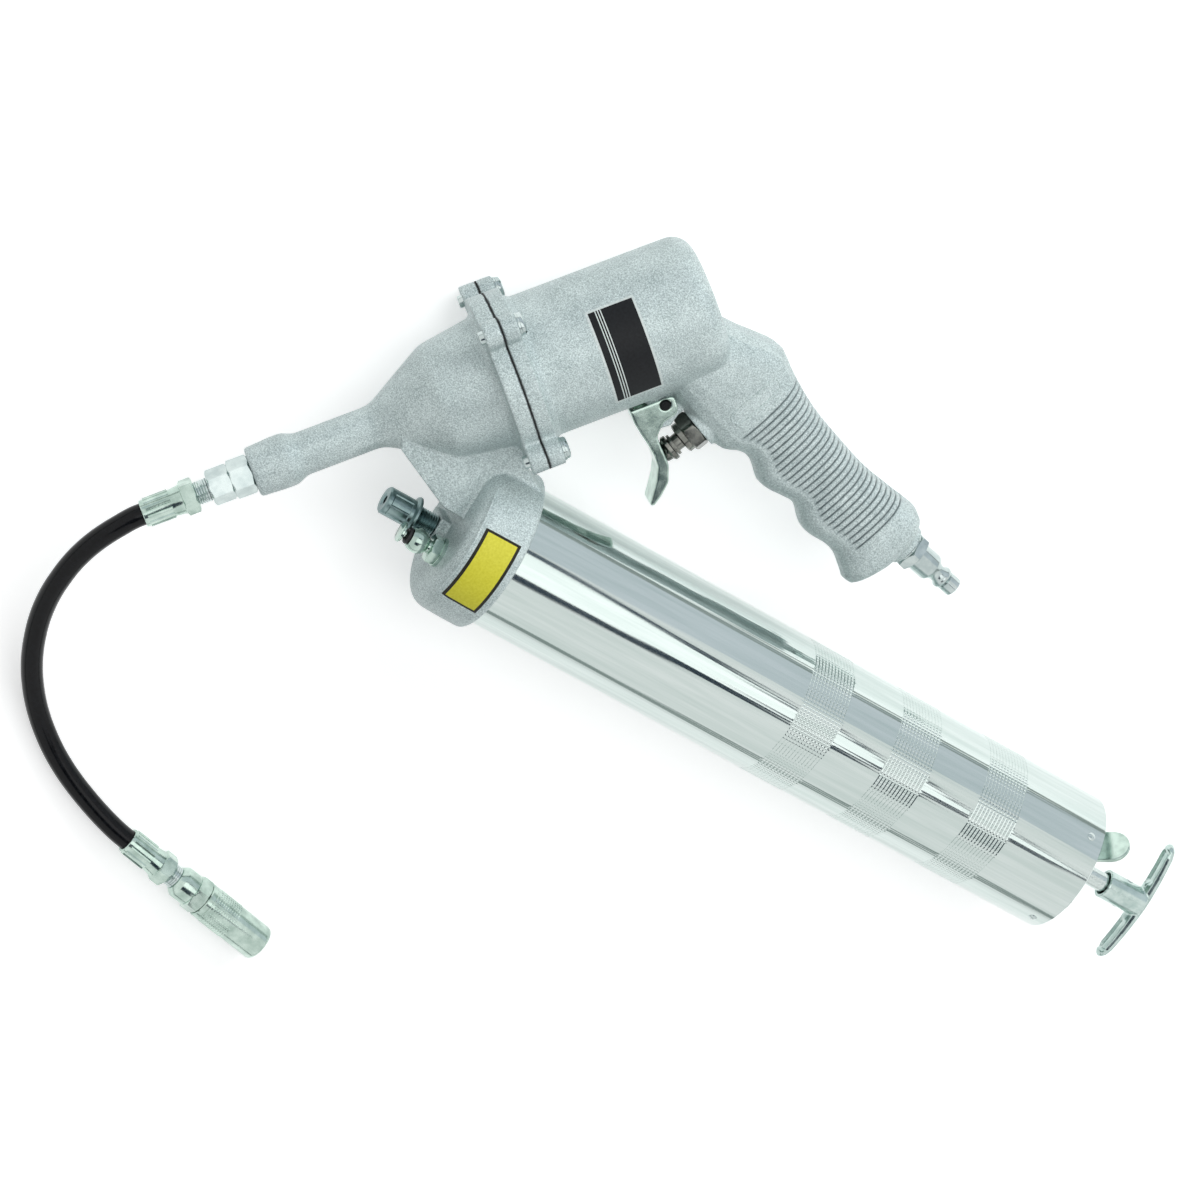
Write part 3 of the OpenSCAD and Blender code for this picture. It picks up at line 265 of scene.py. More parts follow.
def make_finishes():
    FINISHES.update(
        paint=hammertone_paint(),
        chrome=bright_chrome(),
        # Bright silver, faintly blue
        zinc=zinc_plate("zinc plate, bright", "#B4C1C0", "#CAD5D3", (0.13, 0.2)),
        # The passivation leaves a green tint
        pale_zinc=zinc_plate(
            "zinc plate, pale green passivated", "#A6BBB1", "#C8DBD1", (0.12, 0.2)),
        cast_zinc=zinc_plate(
            "zinc die casting, tumbled and plated", "#B0C4BF", "#CBDBD6", (0.13, 0.2)),
        # Blue-grey and duller, from a smoky bath
        dark_zinc=zinc_plate("zinc plate, smoked", "#6F8587", "#8FA4A3", (0.26, 0.36)),
        # Warm dark silver
        nickel=zinc_plate("nickel plate, dark", "#666863", "#8E908A", (0.12, 0.22)),
        ground=drawn_steel("steel rod, ground", "#B9C6C3", "#DDE6E3", (0.14, 0.24)),
        spring=drawn_steel("spring wire, drawn", "#8E9294", "#B4B8BA", (0.25, 0.4)),
        blackened=drawn_steel("steel pin, blackened", "#1B1C1D", "#2E3031", (0.3, 0.42)),
        aluminium=drawn_steel("aluminium, turned", "#B9BDBE", "#DADDDD", (0.25, 0.4)),
        # Matt, as pressed paper fibre is
        gasket=moulded_rubber("gasket fibre, pressed", "#16181A", "#26292B", (0.6, 0.75)),
        rubber=moulded_rubber("nitrile rubber, moulded", "#0F1011", "#1B1C1E", (0.4, 0.55)),
        # Smooth from the die, so that it shows thin bright lines
        hose=moulded_rubber("hose cover, extruded", "#07080A", "#101215", (0.14, 0.22), 0.2),
    )


# Meshes


def steps(low, high, count):
    return [low + (high - low) * k / count for k in range(count + 1)]


def shown(name, data):
    """Object of that data in the scene."""
    piece = bpy.data.objects.new(name, data)
    bpy.context.scene.collection.objects.link(piece)
    return piece


def mesh_of(name, bm):
    """Mesh from a bmesh, which is used up."""
    mesh = bpy.data.meshes.new(name)
    bm.to_mesh(mesh)
    bm.free()
    return mesh


def smooth(mesh, angle):
    """Smooth shading, except over edges sharper than an angle in degrees."""
    mesh.shade_smooth()
    mesh.set_sharp_from_angle(angle=math.radians(angle))


def placed(name, bm, place, finish, smooth_angle=35):
    """Piece from a mesh in millimetres: its place goes into the mesh, and its faces point out."""
    bmesh.ops.recalc_face_normals(bm, faces=bm.faces)
    mesh = mesh_of(name, bm)
    mesh.transform(place)
    smooth(mesh, smooth_angle)
    mesh.materials.append(FINISHES[finish])
    return shown(name, mesh)


def bridge(bm, rings, closed):
    """Faces from ring to ring, and back to the first where closed; a ring may be one point."""
    sides = max(len(ring) for ring in rings)
    for low, high in zip(rings, rings[1:] + (rings[:1] if closed else [])):
        for k in range(sides):
            j = (k + 1) % sides
            corners = dict.fromkeys((
                low[k % len(low)], low[j % len(low)], high[j % len(high)], high[k % len(high)]))
            if len(corners) > 2:
                bm.faces.new(tuple(corners))


def add_turned(bm, profile, sides=96, start=0.0):
    """Adds a turned body to a mesh: stations of (z, radius) or (z, radius, flats) in order."""
    rings = []
    for z, radius, *flats in profile:
        ring = []
        for k in range(sides if radius > 0 else 1):
            degrees = 360 * k / sides
            reach = [radius] + [
                across / 2 / math.cos(math.radians(degrees % 60 - 30)) for across in flats]
            angle = math.radians(degrees + start)
            ring.append(bm.verts.new(
                (min(reach) * math.cos(angle), min(reach) * math.sin(angle), z)))
        rings.append(ring)
    bridge(bm, rings, len(rings[0]) > 1 and len(rings[-1]) > 1)


def turned(name, place, finish, *profiles):
    """Piece of one or more turned bodies; a profile is a list, or (list, starting angle)."""
    bm = bmesh.new()
    for profile in profiles:
        stations, start = profile if isinstance(profile, tuple) else (profile, 0)
        add_turned(bm, stations, start=start)
    return placed(name, bm, place, finish)


def hex_stations(low, high, flats, bore=0.0):
    """Stations of a hexagonal bar whose corners are chamfered at 30 degrees."""
    corner, inner = flats / 2 / math.cos(math.radians(30)), flats / 2 * 0.97
    drop = (corner - inner) * math.tan(math.radians(30))
    first = [(low + drop * t, inner + (corner - inner) * t, flats) for t in steps(0, 1, 4)]
    last = [(low + high - z, radius, flats) for z, radius, flats in reversed(first)]
    return [(low, bore)] + first + last + [(high, bore)]


def ring_stations(outer, inner, low, high, bevel):
    """Stations of a ring whose outer edges are bevelled."""
    return [(low, inner), (low, outer - bevel), (low + bevel, outer), (high - bevel, outer),
            (high, outer - bevel), (high, inner)]


def modify(piece, kind, **settings):
    """Adds a modifier of that kind with its settings."""
    modifier = piece.modifiers.new(kind, kind)
    for name, value in settings.items():
        setattr(modifier, name, value)
    return modifier


def evaluated_mesh(piece):
    """Mesh of a piece with its modifiers, which are then taken off."""
    seen = piece.evaluated_get(bpy.context.evaluated_depsgraph_get())
    mesh = bpy.data.meshes.new_from_object(seen)
    piece.modifiers.clear()
    old, piece.data = piece.data, mesh
    bpy.data.meshes.remove(old)
    return mesh


def cast_copy(name, node, place, finish, voxel, rounding, kept, prepare=None):
    """Copy of a CAD node, rounded as a casting is, with a share of its faces kept."""
    bm = bmesh.new()
    bm.from_mesh(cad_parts[node].data)
    bmesh.ops.remove_doubles(bm, verts=bm.verts, dist=1e-6)
    bm.transform(place.inverted())
    if prepare:
        prepare(bm)
    mesh = mesh_of(name, bm)
    mesh.materials.append(FINISHES[finish])
    piece = shown(name, mesh)
    modify(piece, "REMESH", mode="VOXEL", voxel_size=voxel)
    modify(piece, "SMOOTH", factor=0.5, iterations=rounding)
    modify(piece, "DECIMATE", ratio=kept)
    mesh = evaluated_mesh(piece)
    mesh.transform(place)
    mesh.shade_smooth()
    return piece


def skin_of(piece):
    """Tree in which lines to the piece's surface are looked up."""
    return BVHTree.FromObject(piece, bpy.context.evaluated_depsgraph_get())


def dropped(skin, place, start, way):
    """Point, in a local frame, where a line from start along way meets a skin."""
    return place.inverted() @ skin.ray_cast(place @ start, (place.to_3x3() @ way).normalized())[0]


# Node groups that make meshes


def new_group(name, **sockets):
    """Geometry node group with named inputs of given kinds, and the sockets of those inputs."""
    tree = bpy.data.node_groups.new(name, "GeometryNodeTree")
    tree.interface.new_socket("Geometry", in_out="OUTPUT", socket_type="NodeSocketGeometry")
    for socket, kind in sockets.items():
        tree.interface.new_socket(
            socket.replace("_", " "), in_out="INPUT", socket_type="NodeSocket" + kind)
    return tree, dict(add(tree, "NodeGroupInput").items())


def end_group(tree, given, geometry):
    """Ends a node group in real meshes that have their finish."""
    real = add(tree, "GeometryNodeRealizeInstances", {0: geometry})[0]
    painted = add(tree, "GeometryNodeSetMaterial", {
        "Geometry": real, "Material": given["Finish"]})[0]
    add(tree, "NodeGroupOutput", {0: painted})
    return tree


def made_by(tree, name, mesh, place, values):
    """Piece that a node group makes in local millimetres."""
    piece = shown(name, mesh)
    maker = modify(piece, "NODES", node_group=tree)
    for item in tree.interface.items_tree:
        if item.in_out == "INPUT" and item.name in values:
            maker[item.identifier] = values[item.name]
    mesh = evaluated_mesh(piece)
    mesh.transform(place)
    if not mesh.materials:
        mesh.materials.append(values["Finish"])
    mesh.shade_smooth()
    return piece


def rows_group():
    """Sets a piece in rows round the z axis and along it."""
    tree, given = new_group(
        "Rows round an axis", Piece="Object", Around="Int", Along="Int", Radius="Float",
        Step="Float", First_Angle="Float", Row_Turn="Float", Finish="Material")
    given["index"] = add(tree, "GeometryNodeInputIndex")[0]
    worked_out(tree, given, (
        ("count", "MULTIPLY", "Around", "Along"),
        ("share", "DIVIDE", "index", "Around"),
        ("row", "FLOOR", "share"),
        ("part", "FRACT", "share"),
        ("circle", "MULTIPLY_ADD", "part", math.tau, "First Angle"),
        ("angle", "MULTIPLY_ADD", "row", "Row Turn", "circle"),
        ("height", "MULTIPLY", "row", "Step"),
        ("cosine", "COSINE", "angle"),
        ("sine", "SINE", "angle"),
        ("x", "MULTIPLY", "cosine", "Radius"),
        ("y", "MULTIPLY", "sine", "Radius")))
    line = add(tree, "GeometryNodeMeshLine", {"Count": given["count"], "Offset": (0, 0, 0)})[0]
    spot = add(tree, "ShaderNodeCombineXYZ", {
        "X": given["x"], "Y": given["y"], "Z": given["height"]})[0]
    spots = add(tree, "GeometryNodeSetPosition", {"Geometry": line, "Position": spot})[0]
    facing = add(tree, "ShaderNodeCombineXYZ", {"Z": given["angle"]})[0]
    rotation = add(tree, "FunctionNodeEulerToRotation", {"Euler": facing})[0]
    model = add(tree, "GeometryNodeObjectInfo", {"Object": given["Piece"]})["Geometry"]
    copies = add(tree, "GeometryNodeInstanceOnPoints", {
        "Points": spots, "Instance": model, "Rotation": rotation})[0]
    return end_group(tree, given, copies)


def rows(name, pattern, place, finish, **inputs):
    """Piece that repeats a pattern piece in rows; the pattern is used up."""
    tree = bpy.data.node_groups.get("Rows round an axis") or rows_group()
    values = {"Piece": pattern, "Around": 1, "Along": 1, "Radius": 0.0, "Step": 0.0,
              "First Angle": 0.0, "Row Turn": 0.0, "Finish": FINISHES[finish]}
    values.update({key.replace("_", " "): value for key, value in inputs.items()})
    piece = made_by(tree, name, bpy.data.meshes.new(name), place, values)
    smooth(piece.data, 35)
    bpy.data.objects.remove(pattern)
    return piece


def pattern_piece(bm):
    """Loose object in millimetres, for rows() to repeat."""
    bmesh.ops.recalc_face_normals(bm, faces=bm.faces)
    return shown("pattern", mesh_of("pattern", bm))


def thread_rings(name, place, finish, radius, depth, low, high, pitch):
    """Thread drawn as a row of V-shaped crests, coarse enough to show."""
    bm = bmesh.new()
    root = radius - depth
    add_turned(bm, [(0, root - 0.4), (0, root), (pitch / 2, radius), (pitch, root),
                    (pitch, root - 0.4)], 48)
    return rows(name, pattern_piece(bm), place @ shift(0, 0, low), finish,
                Along=max(1, int((high - low) / pitch)), Step=pitch)


def on_body(piece, body, slot, *nodes):
    """The piece rides on a body and stands for the nodes; the slot is not used."""
    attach(piece, body)
    if nodes:
        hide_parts(*nodes)
    return piece


# Sizes and colours that a user may change


class StageSizes(bpy.types.PropertyGroup):
    floor_width: bpy.props.FloatProperty(
        name="Floor width", description="Width of the floor", default=12.0, unit="LENGTH")
    lamp_power: bpy.props.FloatProperty(
        name="Lamp power", description="Power of the long soft box", default=6.0, unit="POWER")
    side_power: bpy.props.FloatProperty(
        name="Side power", description="Power of the lamp beyond the motor", default=10.0,
        unit="POWER")
    sky: bpy.props.FloatProperty(
        name="Sky", description="Strength of the plain light from all round", default=0.36)
    floor_colour: bpy.props.FloatVectorProperty(
        name="Floor colour", description="Colour of the floor", subtype="COLOR", size=4,
        default=linear("#E9EBEB"))


class CastingSizes(bpy.types.PropertyGroup):
    grip_voxel: bpy.props.FloatProperty(
        name="Motor grain", description="Mesh step on the motor housing in millimetres",
        default=0.55)
    groove_pitch: bpy.props.FloatProperty(
        name="Groove spacing", description="Spacing of the grip's grooves in millimetres",
        default=GROOVE_PITCH)
    groove_width: bpy.props.FloatProperty(
        name="Groove width", description="Width of a groove in millimetres",
        default=GROOVE_WIDTH)
    groove_depth: bpy.props.FloatProperty(
        name="Groove depth", description="Depth of a groove in millimetres", default=0.8)
    groove_count: bpy.props.IntProperty(
        name="Grooves", description="Number of grooves round the grip",
        default=GROOVE_COUNT)
    head_voxel: bpy.props.FloatProperty(
        name="Head grain", description="Mesh step on the pump head in millimetres", default=0.6)
    head_rounding: bpy.props.IntProperty(
        name="Rounding", description="Smoothing steps that round the pump head's edges", default=2)


class BarrelSizes(bpy.types.PropertyGroup):
    radius: bpy.props.FloatProperty(
        name="Radius", description="Outside radius of the barrel in millimetres", default=28.5)
    cells_around: bpy.props.IntProperty(
        name="Knurls round", description="Knurls round the barrel", default=120)
    knurl_depth: bpy.props.FloatProperty(
        name="Knurl depth", description="Depth of the rolled grooves in millimetres", default=0.2)


class HoseSizes(bpy.types.PropertyGroup):
    diameter: bpy.props.FloatProperty(
        name="Diameter", description="Outside diameter of the hose", default=0.0084,
        unit="LENGTH", precision=4)
    length: bpy.props.FloatProperty(
        name="Length", description="Length of the hose between its ferrules", default=0.171,
        unit="LENGTH", precision=3)


SIZE_GROUPS = {
    "gun_stage": StageSizes, "gun_castings": CastingSizes,
    "gun_barrel": BarrelSizes, "gun_hose": HoseSizes,
}


# Stage


def emptied(block):
    """Emptied node tree of a material or a world."""
    block.use_nodes = True
    block.node_tree.nodes.clear()
    return block.node_tree


def seen(tree, else_strength, seen_strength):
    """Strength of light that the camera sees, also in a mirror or through glass, and else."""
    path = add(tree, "ShaderNodeLightPath")
    share = path["Is Camera Ray"]
    for ray in ("Is Glossy Ray", "Is Transmission Ray"):
        share = add(tree, "ShaderNodeMath", {0: share, 1: path[ray]}, operation="MAXIMUM")[0]
    return add(tree, "ShaderNodeMapRange", {0: share, 3: else_strength, 4: seen_strength})[0]


def card(name, corners, material):
    """Flat stage card."""
    mesh = bpy.data.meshes.new(name)
    mesh.from_pydata(corners, [], [tuple(range(len(corners)))])
    mesh.materials.append(material)
    flat = shown(name, mesh)
    return flat


def reflected(name, corners, material):
    """Card that only shows in the shine of the pieces."""
    flat = card(name, corners, material)
    flat.visible_camera = flat.visible_diffuse = False
    flat.visible_shadow = flat.visible_transmission = False


def lit(name, colour, strength):
    """Finish of a card that is lit from behind."""
    material = bpy.data.materials.new(name)
    tree = emptied(material)
    glow = add(tree, "ShaderNodeEmission", {"Color": linear(colour), "Strength": strength})[0]
    add(tree, "ShaderNodeOutputMaterial", {"Surface": glow})
    return material


def lamp(name, power, size, place, tilt):
    """Rectangular area lamp that faces down, tilted about X, and doesn't show in the shine."""
    data = bpy.data.lights.new(name, "AREA")
    data.shape = "RECTANGLE"
    data.size, data.size_y = size
    data.energy = power
    box = shown(name, data)
    box.location = place
    box.rotation_euler.x = math.radians(tilt)
    box.visible_camera = box.visible_glossy = False


class GUN_OT_stage(bpy.types.Operator):
    """Makes the camera, the pale floor, the lamps and the cards that the metal reflects"""
    bl_idname = "gun.stage"
    bl_label = "Stage and camera"

    def execute(self, context):
        scene = context.scene
        sizes = scene.gun_stage
        scene.view_settings.view_transform = "Standard"

        # Lens and place follow from the straight edges of the barrel and the motor
        camera = bpy.data.cameras.new("camera")
        camera.sensor_width, camera.lens = 36, 130.435
        scene.camera = shown("camera", camera)
        scene.camera.matrix_world = Matrix.Translation(GUN @ Vector((-401.54, 314.81, 1527.91))) \
            @ turn(32.4429, "Z") @ turn(-10.3021, "Y") @ turn(-19.3977, "X")

        scene.world = bpy.data.worlds.new("white tent")
        tree = emptied(scene.world)
        light = add(tree, "ShaderNodeBackground", {
            "Color": linear("#FFFFFF"), "Strength": seen(tree, sizes.sky, 1.0)})[0]
        add(tree, "ShaderNodeOutputWorld", {"Surface": light})

        material = bpy.data.materials.new("floor, matt white")
        tree = emptied(material)
        matt = add(tree, "ShaderNodeBsdfDiffuse", {"Color": sizes.floor_colour})[0]
        glow = add(tree, "ShaderNodeEmission", {
            "Color": linear("#FFFFFF"), "Strength": seen(tree, 0.0, 0.5)})[0]
        both = add(tree, "ShaderNodeAddShader", {0: matt, 1: glow})[0]
        add(tree, "ShaderNodeOutputMaterial", {"Surface": both})
        half, below = sizes.floor_width / 2, -0.0002
        card("floor", [(-half, -half, below), (half, -half, below), (half, half, below),
                       (-half, half, below)], material)

        lamp("soft_box", sizes.lamp_power, (1.7, 0.74), (0.32, 0.24, 1.15), 0)
        lamp("side_box", sizes.side_power, (1.2, 0.6), (0.0, 1.15, 0.9), -52)

        dark = new_finish("flag, dark cloth", Base_Color=linear("#3E4E60"), Roughness=0.9)[0]
        white = lit("soft box front, lit cloth", "#FFFFFF", 1.5)
        blue = lit("card, lit blue grey", "#DDE3EA", 1.0)
        grey = lit("horizon, lit grey", "#AEB8B6", 0.8)
        high, far = 1.16, 2.6
        # Stations of x, then y of the soft box's front and of the far edge of the flag beside it,
        # on the near side and on the far side
        across = (
            (-0.6, -0.16, -0.34, 0.64, 0.80), (0.27, -0.16, -0.37, 0.64, 0.86),
            (0.48, -0.05, -0.19, 0.36, 0.50), (0.66, 0.03, -0.06, 0.10, 0.14),
            (0.74, 0.03, 0.0, 0.04, 0.05))
        for name, one, two, finish in (
                ("soft_box_front", 1, 3, white), ("flag_near", 1, 2, dark),
                ("flag_far", 3, 4, dark)):
            reflected(name, [(row[0], row[one], high) for row in across]
                      + [(row[0], row[two], high) for row in reversed(across)], finish)
        reflected("flag_low", [(-0.6, -0.34, high), (0.17, -0.34, high), (0.17, -0.75, high),
                               (-0.6, -0.75, high)], dark)
        reflected("card_far", [(-far, 0.82, 1.17), (far, 0.82, 1.17), (far, 2.55, 0.3),
                               (-far, 2.55, 0.3)], blue)
        corners = [(-far, far), (far, far), (far, -far), (-far, -far)]
        for side, one, two in zip(
                ("north", "east", "south", "west"), corners, corners[1:] + corners[:1]):
            reflected("flag_" + side, [
                (*one, 0.01), (*two, 0.01), (*two, 0.34), (*one, 0.34)], grey)
        return {"FINISHED"}


# Hose and its fittings


def ferrule(name, place):
    """Crimped ferrule: a fluted shell, a cone and a hexagon."""
    bm = bmesh.new()
    add_turned(bm, [
        (0.0, 4.25), (0.0, 4.9), (0.3, 5.15), (1.2, 5.2), (12.2, 5.2), (12.6, 5.3), (14.6, 5.5),
        (15.8, 5.85), (15.8, 1.7), (8.0, 1.7), (8.0, 4.25)])
    add_turned(bm, hex_stations(15.6, 21, 12, 1.7))
    return placed(name, bm, place, "pale_zinc")


class GUN_OT_hose(bpy.types.Operator):
    """Makes the delivery hose along its route, with a ferrule and a stem at each end"""
    bl_idname = "gun.hose"
    bl_label = "Hose and fittings"

    def execute(self, context):
        sizes = context.scene.gun_hose
        curve = bpy.data.curves.new("delivery_hose", "CURVE")
        curve.dimensions = "3D"
        curve.bevel_depth = sizes.diameter / 2
        curve.bevel_resolution = 10
        curve.resolution_u = 8
        curve.use_fill_caps = True
        spline = curve.splines.new("BEZIER")
        spline.bezier_points.add(len(HOSE_ROUTE) - 1)
        for point, spot in zip(spline.bezier_points, HOSE_ROUTE):
            point.co = GUN @ Vector(spot)
            point.handle_left_type = point.handle_right_type = "AUTO"
        curve.materials.append(FINISHES["hose"])
        hose = shown("delivery_hose", curve)
        on_body(hose, "gun", "hose_cover", "hose")

        ferrules = []
        for end, place in (("inlet", INLET_AXIS), ("outlet", COUPLER_AXIS)):
            shell = ferrule(f"ferrule_shell_{end}", place)
            on_body(shell, "gun", "plated_steel", f"ferrule_{end}")
            bm = bmesh.new()
            add_turned(bm, [(0, 0.0), (0, 0.55), (9.6, 0.55), (9.6, 0.0)], 8)
            ribs = rows(f"ferrule_ribs_{end}", pattern_piece(bm), place @ shift(0, 0, 1.6),
                        "pale_zinc", Around=12, Radius=5.15)
            on_body(ribs, "gun", "plated_steel")
            stem_length = 9.2 if end == "inlet" else 8.0
            stem = turned(f"hose_stem_{end}", place @ shift(0, 0, 21), "zinc",
                          ring_stations(4.35, 1.6, 0, stem_length, 0.3))
            on_body(stem, "gun", "zinc_steel", f"hose_end_{end}")
            crests = thread_rings(f"stem_thread_{end}", place @ shift(0, 0, 21), "zinc",
                                  4.6, 0.3, 0.5, stem_length - 0.3, 0.9)
            on_body(crests, "gun", "zinc_steel")
            ferrules += [shell, ribs, stem, crests]
        coupler = make_coupler()
        return {"FINISHED"}


def make_coupler():
    """Grease coupler: a collar, a hexagon and a knurled sleeve."""
    back, sleeve_back = 25, 38.6
    collar = turned("coupler_collar", COUPLER_AXIS, "pale_zinc", [
        (back, 1.8), (back, 5.0), (back + 0.3, 5.3), (back + 2, 6.55), (back + 2.4, 6.7),
        (back + 7.8, 6.7), (back + 8.2, 6.4), (back + 8.2, 1.8)],
        (hex_stations(sleeve_back - 5.6, sleeve_back, 13.4, 1.8), 30),
        [(sleeve_back - 1, 1.8), (sleeve_back - 1, 5.6), (sleeve_back + 12, 5.6),
         (sleeve_back + 12, 1.8)])
    on_body(collar, "gun", "plated_steel", "coupler_body")
    sleeve = turned("coupler_sleeve_shell", COUPLER_AXIS @ shift(0, 0, sleeve_back), "pale_zinc", [
        (0.0, 5.8), (0.0, 7.0), (0.4, 7.4), (2.2, 7.4), (2.4, 7.2), (2.8, 7.2), (3.0, 7.4),
        (28.6, 7.4), (29.6, 7.1), (30.2, 6.5), (30.5, 5.9), (30.5, 3.9), (30.0, 3.4),
        (28.3, 3.4), (28.3, 5.8)])
    on_body(sleeve, "gun", "plated_steel", "coupler_sleeve")
    bm = bmesh.new()
    # Each knurl is a low pyramid, and a lower one under it closes its foot
    bridge(bm, [[bm.verts.new(spot) for spot in ring] for ring in (
        [(-0.2, 0, 0)], [(0, -0.55, -0.55), (0, 0.55, -0.55), (0, 0.55, 0.55), (0, -0.55, 0.55)],
        [(0.3, 0, 0)])], False)
    knurl = rows("coupler_knurl", pattern_piece(bm), COUPLER_AXIS @ shift(0, 0, sleeve_back + 4.2),
                 "pale_zinc", Around=42, Along=10, Radius=7.3, Step=1.1)
    on_body(knurl, "gun", "plated_steel")
    return [collar, sleeve, knurl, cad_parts["coupler_jaws"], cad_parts["coupler_seal"]]


# Castings


class GUN_OT_castings(bpy.types.Operator):
    """Makes the two hammertone castings, the grip's grooved skin and the thin cast beads"""
    bl_idname = "gun.castings"
    bl_label = "Castings"

    def execute(self, context):
        sizes = context.scene.gun_castings
        head = cast_copy("pump_head_casting", "front_housing", GUN, "paint",
                         sizes.head_voxel, sizes.head_rounding, 0.5)
        on_body(head, "gun", "hammer_paint", "front_housing")
        motor = cast_copy("motor_and_grip_casting", "motor_housing", GRIP, "paint",
                          sizes.grip_voxel, 3, 0.5, fill_grooves)
        on_body(motor, "gun", "hammer_paint", "motor_housing")
        skin = skin_of(motor)
        on_body(grip_skin(skin, sizes), "gun", "hammer_paint")
        on_body(cast_bead("flank_bead", skin, flank_outline(), 0.3), "gun", "hammer_paint")
        draw_in(motor, low=27.3, high=93.3, depth=1.1)
        # Round the cap's front edge, dropped askew from outside the part of it that shows
        edge = []
        for degrees in steps(-46, 52, 32):
            out = Vector((0, math.sin(math.radians(degrees)), math.cos(math.radians(degrees))))
            way = (Vector((0.7, 0, 0)) - out).normalized()
            edge.append((Vector((62.0, 0, 0)) + out * 31.2 - way * 12, way))
        on_body(cast_bead("cap_edge_bead", skin_of(head), edge, 0.75, False), "gun", "hammer_paint")
        return {"FINISHED"}


def fill_grooves(bm):
    """Moves the bottom of each groove, in the grip's frame, out to the line between its edges."""
    by_station = {}
    for vert in bm.verts:
        by_station.setdefault(round(vert.co.x, 1), []).append(vert)
    moves = []
    for k in range(GROOVE_COUNT):
        low = GROOVE_START + GROOVE_PITCH * k
        for vert in bm.verts:
            if abs(vert.co.x - low - GROOVE_WIDTH / 2) > 0.02:
                continue
            spots = []
            for edge in (low, low + GROOVE_WIDTH):
                near = [other.co for key in (-0.1, 0, 0.1)
                        for other in by_station.get(round(round(edge, 1) + key, 1), [])
                        if abs(other.co.x - edge) < 0.02]
                if near:
                    spots.append(min(near, key=lambda co: (co.yz - vert.co.yz).length))
            if len(spots) == 2 and all((co.yz - vert.co.yz).length < 1.6 for co in spots):
                moves.append((vert, (spots[0] + spots[1]) / 2))
    for vert, spot in moves:
        vert.co = spot


def draw_in(piece, low, high, depth):
    """Draws a casting in under the grip's skin, so that the skin's grooves stay open."""
    inverse = GRIP.inverted()
    inward = [-normal.vector * depth * MILLIMETRE for normal in piece.data.vertex_normals]
    for vert, step in zip(piece.data.vertices, inward):
        t = (inverse @ vert.co).x
        vert.co += step * max(0.0, min(1.0, t - low, high - t))


def grooves_group():
    """Presses even grooves into a skin, by its station and flank attributes."""
    tree, given = new_group(
        "Grooves along a grip", Geometry="Geometry", First="Float", Pitch="Float", Count="Float",
        Width="Float", Depth="Float", Finish="Material")
    for name in ("station", "flank"):
        given[name] = add(tree, "GeometryNodeInputNamedAttribute", {"Name": name})["Attribute"]
    worked_out(tree, given, (
        ("past", "SUBTRACT", "station", "First"),
        ("share", "DIVIDE", "past", "Pitch"),
        ("rest", "FRACT", "share"),
        ("way", "MULTIPLY", "rest", "Pitch"),
        ("part", "DIVIDE", "way", "Width"),
        ("narrow", "LESS_THAN", "part", 1.0),
        ("begun", "GREATER_THAN", "share", -0.001),
        ("ended", "LESS_THAN", "share", "Count"),
        ("angle", "MULTIPLY", "part", math.pi),
        ("round", "SINE", "angle"),
        ("first cut", "MULTIPLY", "round", "narrow"),
        ("second cut", "MULTIPLY", "first cut", "begun"),
        ("third cut", "MULTIPLY", "second cut", "ended"),
        ("sunk", "MULTIPLY", "third cut", "flank"),
        ("deep", "MULTIPLY", "sunk", "Depth"),
        ("down", "MULTIPLY", "deep", -1.0)))
    normal = add(tree, "GeometryNodeInputNormal")[0]
    step = add(tree, "ShaderNodeVectorMath", {0: normal, "Scale": given["down"]},
               operation="SCALE")[0]
    # Each groove's depth share is kept as an attribute, which the paint uses to darken the grooves
    # with painted shade
    noted = add(tree, "GeometryNodeStoreNamedAttribute", {
        "Geometry": given["Geometry"], "Name": "groove", "Value": given["sunk"]})[0]
    moved = add(tree, "GeometryNodeSetPosition", {"Geometry": noted, "Offset": step})[0]
    return end_group(tree, given, moved)


def grip_skin(skin, sizes):
    """Skin of the grip, laid on the casting ring by ring, with the grooves pressed in."""
    pitch, width = sizes.groove_pitch, sizes.groove_width
    stations = [26.3, 26.6, 27.3]
    for k in range(sizes.groove_count):
        edge = GROOVE_START + k * pitch
        stations += [edge + width * s for s in (0.01, 0.25, 0.5, 0.75, 0.99)]
        stations.append(edge + (width + pitch) / 2)
    stations += [stations[-1] + 0.8, 94.2, 94.5]
    sides = 112
    spots, station, flank = [], [], []
    for i, t in enumerate(stations):
        # The first and last rings are tucked under the casting
        lift = -1.0 if i in (0, len(stations) - 1) else 0.02
        ring = []
        for k in range(sides):
            angle = math.tau * k / sides
            out = Vector((0, math.cos(angle), math.sin(angle)))
            start = Vector((t, GRIP_MIDDLE, 0)) + out * 34
            ring.append(dropped(skin, GRIP, start, -out) + out * lift)
        low, high = min(co.y for co in ring), max(co.y for co in ring)
        # The grooves fade out over 1.2 mm before the finger side, which is left smooth
        edge = (low + high) / 2 - 0.574 * (high - low) / 2
        spots += ring
        station += [t] * sides
        flank += [max(0.0, min(1.0, (co.y - edge) / 1.2)) for co in ring]
    faces = [(i * sides + k, i * sides + (k + 1) % sides, (i + 1) * sides + (k + 1) % sides,
              (i + 1) * sides + k) for i in range(len(stations) - 1) for k in range(sides)]
    mesh = bpy.data.meshes.new("grip_skin")
    mesh.from_pydata(spots, [], faces)
    for name, values in (("station", station), ("flank", flank)):
        mesh.attributes.new(name, "FLOAT", "POINT").data.foreach_set("value", values)
    return made_by(grooves_group(), "grooved_grip_skin", mesh, GRIP, {
        "First": float(GROOVE_START), "Pitch": pitch, "Count": float(sizes.groove_count),
        "Width": width, "Depth": sizes.groove_depth, "Finish": FINISHES["paint"]})


